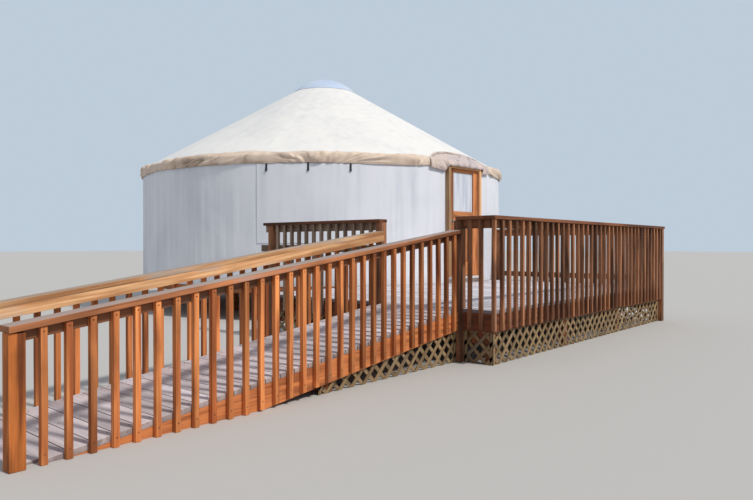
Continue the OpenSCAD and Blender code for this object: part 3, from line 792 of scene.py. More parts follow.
@dataclass
class Lumber:
    """Boards of one finish that become one piece.

    Attributes:
        name: The piece's name.
        finish: The boards' finish.
        ease: Width of the eased edges.
        seed: Seed of the boards' differences.
        warp: How far a long board strays from straight.
        fade: X where painted shade on the boards begins and X where it is darkest, or None.
        painted_shade_depth: How much darker that painted shade makes them there.
        boards: The boards so far.
        rng: The boards' differences.
        master: The board that is copied.
    """

    name: str
    finish: Timber
    ease: float = 0.004
    seed: int = 1
    warp: float = 0.0
    fade: Span | None = None
    painted_shade_depth: float = 1.1
    boards: list[Piece] = field(default_factory=list)
    rng: random.Random = field(init=False)
    master: Piece = field(init=False)
    LOOPS = 6
    HALF = 0.5
    SMOOTH = 35

    def __post_init__(self) -> None:
        """Models the master board: a cube with eased edges and a few rings along it."""
        self.rng = random.Random(self.seed)
        self.master = Bench.start("cube", size=2 * self.HALF)
        with Bench.editing(self.master):
            bpy.ops.mesh.bevel(offset=self.ease, segments=2, profile=0.6, affect="EDGES")
            for step in range(1, self.LOOPS):
                bpy.ops.mesh.select_all(action="SELECT")
                at = self.HALF * (2 * step / self.LOOPS - 1)
                bpy.ops.mesh.bisect(plane_co=(at, 0, 0), plane_no=(1, 0, 0))

    def board(self, size: Point, place: Matrix) -> Piece:
        """Copies the master at a size and place.

        Args:
            size: Length, width and thickness.
            place: The board's turn and middle.

        Returns:
            The board.
        """
        copy = Bench.twin(self.master)
        count = len(copy.data.vertices)
        co = np.zeros(count * 3, np.float32)
        copy.data.vertices.foreach_get("co", co)
        co = co.reshape(-1, 3)
        half = np.array(size) / 2
        inner = np.abs(co[:, 0]) < self.HALF - 1.5 * self.ease
        sized = co + np.sign(co) * (half - self.HALF)
        sized[inner, 0] = co[inner, 0] * size[0]
        bow = np.cos(co[:, 0] * math.pi) ** 2
        sized[:, 1] += bow * self.rng.uniform(-self.warp, self.warp)
        sized[:, 2] += bow * self.rng.uniform(-self.warp, self.warp) * 0.5
        offset = np.array([self.rng.uniform(0, 40) for _ in range(3)])
        copy.data.vertices.foreach_set("co", sized.astype(np.float32).ravel())
        grain = copy.data.attributes.new("grain", "FLOAT_VECTOR", "POINT")
        grain.data.foreach_set("vector", (sized + offset).astype(np.float32).ravel())
        tone = self.rng.random()
        # Painted shade: the boards darken from the first X of fade to the second.
        if self.fade is not None:
            start, end = self.fade
            tone -= self.painted_shade_depth * clamp((place.translation.x - start) / (end - start))
        Bench.mark(copy, "tone", [tone] * count)
        copy.data.transform(place)
        copy.data.update()
        self.boards.append(copy)
        return copy

    def lay(self, corner: Point, far_corner: Point, along: Along = Along.X) -> Piece:
        """Lays a board in the box between two corners.

        Args:
            corner: One corner.
            far_corner: The opposite corner.
            along: The direction of its length.

        Returns:
            The board.
        """
        first, last = Vector(corner), Vector(far_corner)
        spans = [abs(span) for span in last - first]
        angle, axis, order = along.value
        size = tuple(spans[i] for i in order)
        return self.board(size, Matrix.Translation((last + first) / 2) @ Matrix.Rotation(angle, 4, axis))

    def stand(self, x: float, y: float, side: float, low: float, high: float) -> Piece:
        """Stands a square post on its middle, with its side, foot and head."""
        half = side / 2
        return self.lay((x - half, y - half, low), (x + half, y + half, high), Along.Z)

    def slope(self, start: Point, end: Point, width: float, depth: float) -> Piece:
        """Lays a board whose top middle line runs between two places of equal Y.

        Args:
            start: Where its top begins.
            end: Where its top ends.
            width: Its width along Y.
            depth: Its depth across the slope.

        Returns:
            The board, with its ends cut upright.
        """
        run, rise = end[0] - start[0], end[2] - start[2]
        angle = math.atan2(rise, run)
        spare = depth * math.sin(abs(angle))
        middle = Vector(((start[0] + end[0]) / 2, start[1], (start[2] + end[2]) / 2))
        middle -= Vector((-math.sin(angle), 0, math.cos(angle))) * depth / 2
        place = Matrix.Translation(middle) @ Matrix.Rotation(-angle, 4, "Y")
        board = self.board((math.hypot(run, rise) + 2 * spare, width, depth), place)
        for x, side in ((start[0], -1), (end[0], 1)):
            self.trim(board, (x, 0, 0), (side, 0, 0))
        return board

    @staticmethod
    def trim(board: Piece, at: Point, facing: Point) -> None:
        """Saws off what lies beyond a plane through a place, on the side that it faces."""
        with Bench.editing(board):
            bpy.ops.mesh.bisect(plane_co=at, plane_no=facing, use_fill=True, clear_outer=True)

    def piece(self, slot: str, *stands_for: str, body: str = "root") -> Piece:
        """Joins the boards, dresses them and hangs them on a body.

        Args:
            slot: The record's material slot.
            stands_for: The nodes that the piece replaces.
            body: The body that the piece rides on.

        Returns:
            The piece.
        """
        bpy.data.objects.remove(self.master)
        made = Bench.join(self.boards, self.name)
        Bench.dress(made, self.finish)
        Bench.smooth(made, self.SMOOTH)
        hang(made, slot, *stands_for, body=body)
        return made


@dataclass
class Site:
    """Heights and edges of the building, read from the frame.

    Attributes:
        deck_h: Height of the deck.
        deck_left: Left edge of the deck.
        deck_right: Right edge of the deck.
        deck_front: Front edge of the deck.
        deck_back: Back edge of the deck.
        ramp_foot: Where the ramp begins.
        ramp_near: Near edge of the ramp.
        ramp_far: Far edge of the ramp.
        wall_r: Outer radius of the wall cover.
        wall_top: Top of the wall cover.
        eave_r: Radius of the eave.
        eave_z: Height of the eave.
        roof_in: Radius of the opening in the roof cover.
        crown_z: Height of the roof cover at its opening.
        door_turn: Turn of the door from the yurt's front.
    """

    deck_h: float
    deck_left: float
    deck_right: float
    deck_front: float
    deck_back: float
    ramp_foot: float
    ramp_near: float
    ramp_far: float
    wall_r: float
    wall_top: float
    eave_r: float
    eave_z: float
    roof_in: float
    crown_z: float
    door_turn: float

    @classmethod
    def read(cls) -> "Site":
        """Reads the site from the nodes' boxes.

        Returns:
            The site.
        """
        deck_low, deck_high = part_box("deck_rim")
        ramp_low, ramp_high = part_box("ramp_floor")
        wall_high, roof_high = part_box("wall_back")[1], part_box("roof_cover")[1]
        middle = sum(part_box("door_frame"), Vector()) / 2
        ring_w, roof_t, valance_gap = 0.076, 0.007, 0.0003
        return cls(
            deck_h=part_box("deck_floor")[1].z,
            deck_left=deck_low.x, deck_right=deck_high.x, deck_front=deck_low.y, deck_back=deck_high.y,
            ramp_foot=ramp_low.x, ramp_near=ramp_low.y, ramp_far=ramp_high.y,
            wall_r=wall_high.y, wall_top=wall_high.z,
            eave_r=roof_high.x, eave_z=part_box("eave_valance")[1].z + roof_t + valance_gap,
            roof_in=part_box("centre_ring")[1].x - ring_w / 2, crown_z=roof_high.z,
            door_turn=math.atan2(middle.y, middle.x) + math.pi / 2,
        )

    @property
    def slope(self) -> float:
        """The roof's rise for each metre towards the centre."""
        return (self.crown_z - self.eave_z) / (self.eave_r - self.roof_in)

    def roof_z(self, radius: float) -> float:
        """Height of the roof at a distance from the centre."""
        return self.eave_z + (self.eave_r - radius) * self.slope

    def ramp_z(self, x: float) -> float:
        """Height of the ramp at a place."""
        return self.deck_h * (x - self.ramp_foot) / (self.deck_left - self.ramp_foot)

    def turned(self, piece: Piece) -> None:
        """Turns a piece that was modelled with the door at -Y to where the door stands."""
        piece.data.transform(Matrix.Rotation(self.door_turn, 4, "Z"))


@dataclass
class Doorway:
    """Door frame, sill and leaf with their mouldings, modelled with the door at -Y.

    Attributes:
        site: The building's sizes.
        half: Half of the frame's width.
        jamb: Width of a jamb.
        head: Depth of the head.
        front: Distance of the frame's front from the centre.
        back: Distance of its back.
        sill_out: How far the sill stands out.
        plank: Thickness of the sill and of its riser.
        leaf_t: Thickness of the leaf.
        leaf_half: Half of the leaf's width.
        stile: Width of a stile.
        top_rail: Depth of the top rail.
        mid_rail: Depth of the middle rail.
        bottom_rail: Depth of the bottom rail.
        pane_h: Height of the glass.
        panel_t: Thickness of the lower panel.
        margin: Width of the thin margin round the panel's raised field.
        sunk: How far that field lies behind the leaf's faces.
        bead: Side of the beads round glass and panel.
        bead_sunk: How far the beads lie behind the leaf's faces.
    """

    site: Site
    half: float = 0.48
    jamb: float = 0.07
    head: float = 0.05
    front: float = 3.70
    back: float = 3.605
    sill_out: float = 0.06
    plank: float = 0.038
    leaf_t: float = 0.045
    leaf_half: float = 0.405
    stile: float = 0.115
    top_rail: float = 0.05
    mid_rail: float = 0.09
    bottom_rail: float = 0.19
    pane_h: float = 0.69
    panel_t: float = 0.02
    margin: float = 0.055
    sunk: float = 0.006
    bead: float = 0.009
    bead_sunk: float = 0.004

    def frame(self) -> None:
        """The two jambs and the head, with painted shade darkening them towards the door's left."""
        low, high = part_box("door_frame")
        wood = Lumber("door_frame_timbers", JAMB_SUNLIT, 0.004, 51, fade=(0.3, -self.half), painted_shade_depth=1.6)
        inside = self.half - self.jamb
        for side in (-1, 1):
            wood.lay((side * self.half, -self.front, low.z), (side * inside, -self.back, high.z), Along.Z)
        wood.lay((-inside, -self.front, high.z - self.head), (inside, -self.back, high.z))
        self.site.turned(wood.piece("door_cedar", "door_frame"))

    def sill(self) -> None:
        """The sill plank and its riser."""
        low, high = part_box("door_sill")
        under = high.z - self.plank
        wood = Lumber("door_sill_timbers", SILL, 0.006, 52)
        wood.lay((-self.half, -self.front - self.sill_out, under), (self.half, -self.back, high.z))
        wood.lay((-self.half, -self.front, low.z), (self.half, -self.front + self.plank, under))
        self.site.turned(wood.piece("weathered_timber", "door_sill"))

    def leaf(self) -> None:
        """Stiles, rails, the lower panel and the beads round glass and panel."""
        low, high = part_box("door_leaf")
        outer, inner = -self.back - self.leaf_t, -self.back
        inside, bead = self.leaf_half - self.stile, self.bead
        glass_top = high.z - self.top_rail
        glass_low = glass_top - self.pane_h
        panel_top, panel_low = glass_low - self.mid_rail, low.z + self.bottom_rail
        # Painted shade darkens the leaf towards its left stile.
        wood = Lumber("door_leaf_timbers", CEDAR, 0.003, 53, fade=(0.1, -self.leaf_half))
        for side in (-1, 1):
            wood.lay((side * self.leaf_half, outer, low.z), (side * inside, inner, high.z), Along.Z)
        for bottom, top in ((glass_top, high.z), (panel_top, glass_low), (low.z, panel_low)):
            wood.lay((-inside, outer, bottom), (inside, inner, top))
        middle, half = (outer + inner) / 2, self.panel_t / 2
        wood.lay((-inside, middle - half, panel_low), (inside, middle + half, panel_top), Along.Z)
        wood.lay((-inside + self.margin, outer + self.sunk, panel_low + self.margin),
                 (inside - self.margin, inner - self.sunk, panel_top - self.margin), Along.Z)
        for bottom, top in ((glass_low, glass_top), (panel_low, panel_top)):
            for y in (outer + self.bead_sunk, inner - self.bead_sunk - bead):
                for side in (-1, 1):
                    wood.lay((side * inside, y, bottom), (side * (inside - bead), y + bead, top), Along.Z)
                wood.lay((-inside, y, bottom), (inside, y + bead, bottom + bead))
                wood.lay((-inside, y, top - bead), (inside, y + bead, top))
        self.site.turned(wood.piece("door_cedar", "door_leaf", body="door"))

    def build(self) -> None:
        """Builds the doorway and dresses its glass, its hardware and the cloth over it."""
        self.frame()
        self.sill()
        self.leaf()
        for node, finish in (("door_glass", GLASS), ("door_knobs", STEEL), ("hinge_pins", STEEL),
                             ("hinge_knuckles", STEEL), ("wall_over_door", HOOD)):
            Bench.dress(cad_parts[node], finish)


@dataclass
class Covers:
    """The cloth of walls, eave, roof, window flap and door hood.

    Attributes:
        site: The building's sizes.
        doorway: The doorway that the covers leave open.
        cloth: Thickness of the cloth.
        seams: Directions of the right and the left seam of the walls, in degrees.
        valance_low: Height of the valance's hem.
        hood_half: Half of the hood's width.
        hood_rise: How far its middle reaches up the roof.
        hood_clear: How far it stays clear of the eave.
    """

    site: Site
    doorway: Doorway
    cloth: float = 0.002
    seams: Span = (30, 150)
    valance_low: float = 2.515
    hood_half: float = 0.84
    hood_rise: float = 0.28
    hood_clear: float = 0.022
    WALL_FOLDS = (Wave(0.7, 0.33, 0.7, 1.0), Wave(0.5, 0.9, 0.6, 4.0), Wave(0.3, 0.2, 4.0, 9.0))
    HOOD_FOLDS = (Wave(0.9, 4, 3, 5.0), Wave(0.7, 10, 4, 2.0), Wave(0.35, 26, 8, 8.0))

    @property
    def door(self) -> float:
        """Direction of the door's middle, in degrees."""
        return math.degrees(self.site.door_turn) + 270

    @property
    def door_half(self) -> float:
        """Half of the angle that the door frame takes from the wall, in degrees."""
        return math.degrees(math.asin(self.doorway.half / self.site.wall_r))

    @staticmethod
    def spun(name: str, profile: Sequence[Span], start: float, end: float, columns: int) -> Piece:
        """A surface spun about the yurt's axis from a profile.

        Args:
            name: The piece's name.
            profile: Radius and height of each point, from the top down.
            start: Direction where the surface begins, in degrees.
            end: Direction where it ends.
            columns: Number of columns.

        Returns:
            The surface, with its faces outwards.
        """
        sheet = Bench.start("grid", x_subdivisions=1, y_subdivisions=len(profile) - 1, size=2)
        with Bench.editing(sheet, lambda co: co.x > 0):
            bpy.ops.mesh.delete(type="VERT")
        turn = Matrix.Rotation(math.radians(start), 4, "Z")
        chain = sorted(sheet.data.vertices, key=lambda v: -v.co.y)
        for vertex, (radius, height) in zip(chain, profile):
            vertex.co = turn @ Vector((radius, 0, height))
        with Bench.editing(sheet):
            # Without a window, spin turns the other way.
            sweep = math.radians(start - end)
            bpy.ops.mesh.spin(steps=columns, angle=sweep, center=(0, 0, 0), axis=(0, 0, 1))
            bpy.ops.mesh.select_all(action="SELECT")
            bpy.ops.mesh.remove_doubles(threshold=1e-5)
        Bench.outward(sheet)
        sheet.name = name
        return sheet

    def wall(self, name: str, node: str, start: float, end: float) -> None:
        """One section of the wall cover.

        Args:
            name: The piece's name.
            node: The node that it stands for.
            start: Direction where it begins, in degrees.
            end: Direction where it ends.
        """
        site, flap = self.site, WindowFlap(self)
        low = site.deck_h + 2 * HAIR
        profile = [(site.wall_r, z) for z in steps(site.wall_top, low, 34)]
        sheet = self.spun(name, profile, start, end, int((end - start) * 2))
        behind, depth = 0.0022, 0.02

        def drape(co: Vector) -> Vector:
            """Hangs the cloth in soft upright folds that die out under valance and flap.

            Args:
                co: A point of the smooth wall.

            Returns:
                Its place.
            """
            turn = math.degrees(math.atan2(co.y, co.x)) % 360
            share = (co.z - low) / (site.wall_top - low)
            free = clamp((site.wall_top - 0.2 - co.z) / 0.5)
            beside = clamp((abs(turn - flap.middle) - flap.span / 2) / 3)
            ends = clamp(min(abs(turn - start % 360), abs(turn - end % 360)) / 3)
            folds = max(folded(self.WALL_FOLDS, turn, share), -0.1)
            out = free * beside * ends * depth * folds - behind
            return polar(site.wall_r + out, math.radians(turn), co.z)

        Bench.move(sheet, drape)
        Bench.thicken(sheet, WALL, self.cloth)
        length = math.radians(end - start) * site.wall_r
        hang(sheet, "wall_canvas", node)

    def roof(self) -> None:
        """The roof cover, slack between the rafters and puckered at the eave."""
        site = self.site
        hem, rafters, slack, seam_h = 0.004, 32, 0.005, 0.0015
        radii = steps(site.roof_in, site.eave_r - hem, 30)
        sheet = self.spun("roof_canvas", [(r, site.roof_z(r)) for r in radii], 0, 360, 720)

        def sag(co: Vector) -> Vector:
            """Lets the cloth down between rafters.

            Args:
                co: A point of the smooth cone.

            Returns:
                Its place.
            """
            radius, turn = math.hypot(co.x, co.y), math.atan2(co.y, co.x)
            share = (radius - site.roof_in) / (site.eave_r - site.roof_in)
            between = 0.5 - 0.5 * math.cos(rafters * (turn - math.pi / rafters))
            drop = slack * between * math.sin(math.pi * min(1.0, share * 1.05))
            lean = turn + 0.03 * ripple(co.x * 0.8, co.y * 0.8, 5.0)
            gather = ripple(math.cos(lean) * 14, math.sin(lean) * 14, share * 1.5)
            pucker = 0.03 * max(0.0, share - 0.35) ** 2 * gather
            pucker += 0.004 * share ** 3 * ripple(turn * 26, share * 3, 2.0)
            above_valance = clamp((0.955 - share) / 0.06)
            seam = seam_h * (abs(math.sin(6 * turn)) < 0.03)
            return Vector((co.x, co.y, co.z - drop + pucker * above_valance + seam))

        Bench.move(sheet, sag)
        Bench.thicken(sheet, ROOF, self.cloth)
        slant = math.sqrt(1 + site.slope ** 2)
        hang(sheet, "roof_canvas", "roof_cover")

    def valance(self) -> None:
        """The tan valance: it starts on the roof, rolls over the eave and hangs gathered to its hem."""
        site, rows = self.site, 22
        opening, door = self.door_half + 0.25, math.degrees(site.door_turn) - 90
        profile = [(site.eave_r, -float(i)) for i in range(rows + 1)]
        sheet = self.spun("valance_canvas", profile, door + opening, door + 360 - opening, 1300)
        fades, tucks = [], []
        hood_end, hood_fade, left_patch_at, left_patch_width = 5.4, 2.5, 196, 17
        full, flat, out_at_hem = 0.045, 0.004, 0.014

        def puff(co: Vector) -> Vector:
            """Lays one point of the valance in its folds, and notes its fading and painted shade.

            Args:
                co: Its direction, and its row as a negative height.

            Returns:
                Its place.
            """
            turn, row = math.atan2(co.y, co.x), -co.z / rows
            side = math.degrees(turn) - door
            from_door = min((side - opening) % 360, (-side - opening) % 360)
            free = clamp((from_door - hood_end) / hood_fade)
            x, y = site.eave_r * math.cos(turn), site.eave_r * math.sin(turn)
            # The left patch: the cloth reaches higher up the roof there and gets more painted shade.
            left = bell(math.degrees(turn) % 360, left_patch_at, left_patch_width)
            over = 0.085 + 0.06 * left + 0.045 * ripple(x * 1.4, y * 1.4, 1.0)
            over += 0.03 * ripple(x * 5, y * 5, 2.0)
            lift = 0.04 * bell(from_door, 5.5, 2.5) - 0.02 * (1 - free)
            length = site.eave_z - self.valance_low - lift + 0.02 * ripple(x * 1.1, y * 1.1, 3.0)
            travel = row * (over + length)
            lean = 0.3 * ripple(x * 0.7, y * 0.7, 4.0)
            u, v = x - y * lean * row, y + x * lean * row
            wide = ripple(u * 1.5, v * 1.5, 7.0 + row)
            middle = ripple(u * 4.6, v * 4.6, 9.0 + row * 0.9)
            small = ripple(u * 12.0, v * 12.0, 2.0 + row * 2.0)
            pinch = tuck(u * 3.1, v * 3.1, 5.0 + row * 0.7)
            slack = min(1.0, row * 3.4) * (0.35 + 0.65 * math.sin(math.pi * min(1.0, 0.16 + row * 0.8)))
            fold = 0.018 + 0.04 * wide + 0.055 * middle + 0.026 * small - 0.03 * pinch * pinch
            out = min(full, max(-flat, slack * fold * (0.05 + 0.95 * free)))
            fades.append(min(1.0, travel / 0.08))
            # Painted shade in the pinched tucks, on the folded-in cloth of the left patch and along the hem.
            dirt_and_shade = pinch ** 3 * slack * (0.3 + 0.7 * left) + 0.8 * left * max(0.0, -middle)
            tucks.append(min(1.0, dirt_and_shade + row ** 8 * 0.5))
            if travel < over:
                radius, height = site.eave_r - over + travel, 0.0055 + out
                z = site.roof_z(radius) + height * 0.85
                return polar(radius + height * 0.5 * min(1.0, travel / over), turn, z)
            below = travel - over
            bend = math.exp(-below / 0.03)
            radius = site.eave_r + out_at_hem - out_at_hem * bend + out * (1 - 0.5 * bend)
            radius -= out_at_hem * (below / length) ** 2
            return polar(radius, turn, site.eave_z - below + (0.0047 + out * 0.85) * bend)

        Bench.move(sheet, puff)
        Bench.mark(sheet, "fade", fades)
        Bench.mark(sheet, "tuck", tucks)
        Bench.thicken(sheet, TAN, self.cloth)
        hang(sheet, "valance_canvas", "eave_valance")

    def hood(self) -> None:
        """The cloth that leads rain round the door, from its arched roll down to the door's head."""
        site, half, clear = self.site, self.hood_half, self.hood_clear
        frame_half, front = self.doorway.half, self.doorway.front
        head_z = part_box("door_frame")[1].z
        roll, bed = 0.03, 0.012
        sheet = Bench.start("grid", x_subdivisions=150, y_subdivisions=48, size=2)
        fades, tucks = [], []

        def drape(co: Vector) -> Vector:
            """Lays one point down the roof, over the eave and onto the door's head.

            Args:
                co: Its share of the width and of the way down, from -1 to 1.

            Returns:
                Its place.
            """
            across, down = co.x * half, (1 - co.y) / 2
            eave_y = math.sqrt(site.eave_r ** 2 - across ** 2)
            on_roof = self.hood_rise * (1 - abs(co.x) ** 2.4) + bed + roll
            over_head = clamp(1 - (abs(across) - frame_half - 0.008) / 0.04)
            outward = clamp((abs(across) - frame_half) / (half - frame_half))
            beside = (0.175 - 0.05 * outward) if across < 0 else (0.15 - 0.02 * outward)
            drop = (site.eave_z - head_z + bed) * over_head + beside * (1 - over_head)
            travel = down * (on_roof + drop)
            slant = across + 0.5 * travel * (1 if across > 0 else -1)
            pinch = tuck(slant * 4.2, travel * 2.0, 3.0)
            fold = folded(self.HOOD_FOLDS, slant, travel) - 0.6 * pinch * pinch
            edge = min(1.0, (1 - abs(co.x)) / 0.25)
            held = 0.1 + 0.9 * edge
            crest = bell(travel, 0.014, 0.014) * edge
            crease = bell(travel, 0.04, 0.016) * edge
            # Painted shade in the arched crease, stronger at the left, in the pinched tucks and along the
            # hem.
            dirt_and_shade = 0.9 * crease * (0.4 + 0.6 * (across < 0.25)) + pinch ** 3 * 0.7 * edge
            tucks.append(min(1.0, dirt_and_shade + down ** 12 * 0.6))
            near_roll = min(1.0, 0.5 + 0.5 * edge * travel / roll)
            fades.append(near_roll if abs(across) < 0.55 else 0.6 + 0.4 * edge)
            if travel < on_roof:
                radius = site.eave_r + clear - on_roof + travel
                fullness = (0.024 + 0.026 * fold) * min(1.0, travel / 0.12)
                lift = bed + (0.03 * crest + fullness) * held
                z = site.roof_z(min(radius, site.eave_r)) + lift - max(0.0, radius - site.eave_r) * 0.5
                return Vector((across, -math.sqrt(max(radius ** 2 - across ** 2, 0.0)), z))
            below = travel - on_roof
            share = below / drop
            reach = max(0.0, front + 0.02 - eave_y - clear)
            out = eave_y + clear + reach * over_head * min(1.0, share * 1.4) ** 0.7
            out += (0.014 + 0.03 * fold) * math.sin(math.pi * min(1.0, 0.1 + share * 0.75))
            rise = (bed + (0.024 + 0.026 * fold) * held) * math.exp(-below / roll)
            return Vector((across, -out, site.eave_z - clear / 2 + rise - below))

        Bench.move(sheet, drape)
        Bench.outward(sheet, Vector((0, 0, 1)))
        sheet.name = "door_hood"
        Bench.mark(sheet, "fade", fades)
        Bench.mark(sheet, "tuck", tucks)
        Bench.thicken(sheet, HOOD, self.cloth)
        site.turned(sheet)
        hang(sheet, "valance_canvas", "rain_diverter")

    def build(self) -> None:
        """Builds all covers."""
        right, left = self.seams
        self.wall("wall_cloth_left", "wall_left", left, self.door - self.door_half)
        self.wall("wall_cloth_back", "wall_back", right, left)
        self.wall("wall_cloth_right", "wall_right", self.door - 360 + self.door_half, right)
        self.roof()
        self.valance()
        self.hood()
        WindowFlap(self).build()


@dataclass
class WindowFlap:
    """The closed window flap with the straps that hold it when it is rolled up.

    Attributes:
        covers: The covers that it belongs to.
        turn: Angle between the door and the flap's middle, in degrees.
        span: Angle that it takes from the wall, in degrees.
        off_wall: How far it lies off the wall.
        strap_w: Width of a strap.
        strap_t: Thickness of a strap.
        strap_step: Angle between the straps, in degrees.
        strap_up: How far a strap reaches up under the valance.
    """

    covers: Covers
    turn: float = 45.7
    span: float = 26.0
    off_wall: float = 0.0035
    strap_w: float = 0.032
    strap_t: float = 0.0018
    strap_step: float = 10.5
    strap_up: float = 0.02

    @property
    def middle(self) -> float:
        """Direction of the flap's middle, in degrees."""
        return self.covers.door - self.turn

    @property
    def radius(self) -> float:
        """Distance of the flap from the yurt's axis."""
        return self.covers.site.wall_r + self.off_wall

    def build(self) -> None:
        """Builds the flap and its three straps."""
        low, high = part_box("window_flap")
        profile = [(self.radius, z) for z in steps(high.z, low.z, 24)]
        start, end = self.middle - self.span / 2, self.middle + self.span / 2
        sheet = self.covers.spun("window_flap_cloth", profile, start, end, 78)
        hem_t, hem_w = 0.0014, 0.03

        def crease(co: Vector) -> Vector:
            """Gives the flap a doubled hem and shallow creases.

            Args:
                co: A point of the smooth flap.

            Returns:
                Its place.
            """
            turn = math.degrees(math.atan2(co.y, co.x)) % 360
            side = min(turn - start, end - turn) / 0.5
            hem = hem_t if min(side, (co.z - low.z) / hem_w, (high.z - co.z) / hem_w) < 1.05 else 0.0
            out = hem + 0.0012 + 0.0012 * ripple(turn * 0.5, co.z * 1.4, 3.0)
            out += 0.0006 * ripple(turn * 1.6, co.z * 5, 6.0)
            out += 0.004 * max(0.0, 1 - (co.z - low.z) / 0.12) * max(0.0, ripple(turn * 0.6, 1.0, 2.0))
            scale = (self.radius + out) / self.radius
            return Vector((co.x * scale, co.y * scale, co.z))

        Bench.move(sheet, crease)
        Bench.thicken(sheet, WALL, self.covers.cloth)
        hang(sheet, "wall_canvas", "window_flap")
        flat = (math.radians(self.span) * self.radius, high.z - low.z)
        for place in (-1, 0, 1):
            self.strap(place)

    def strap(self, place: int) -> None:
        """Hangs a webbing strap below the valance.

        Args:
            place: -1, 0 or 1 for the straps in their order.
        """
        low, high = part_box("flap_straps")
        top = high.z + self.strap_up
        turn = Matrix.Rotation(math.radians(self.middle + place * self.strap_step), 4, "Z")
        strap = Bench.start("grid", x_subdivisions=4, y_subdivisions=12, size=2)

        def fall(co: Vector) -> Vector:
            """Hangs a point of the strap, whose free end curls off the flap.

            Args:
                co: Its share of the width and of the way down, from -1 to 1.

            Returns:
                Its place.
            """
            share = (1 - co.y) / 2
            out = self.radius + 0.0052 + 0.012 * share ** 3 + 0.0008 * co.x * co.y
            return turn @ Vector((out, co.x * self.strap_w / 2, top - share * (top - low.z)))

        Bench.move(strap, fall)
        Bench.outward(strap)
        strap.name = f"flap_strap_{place + 2}"
        Bench.thicken(strap, WEB, self.strap_t, 50)
        hang(strap, "webbing", "flap_straps")


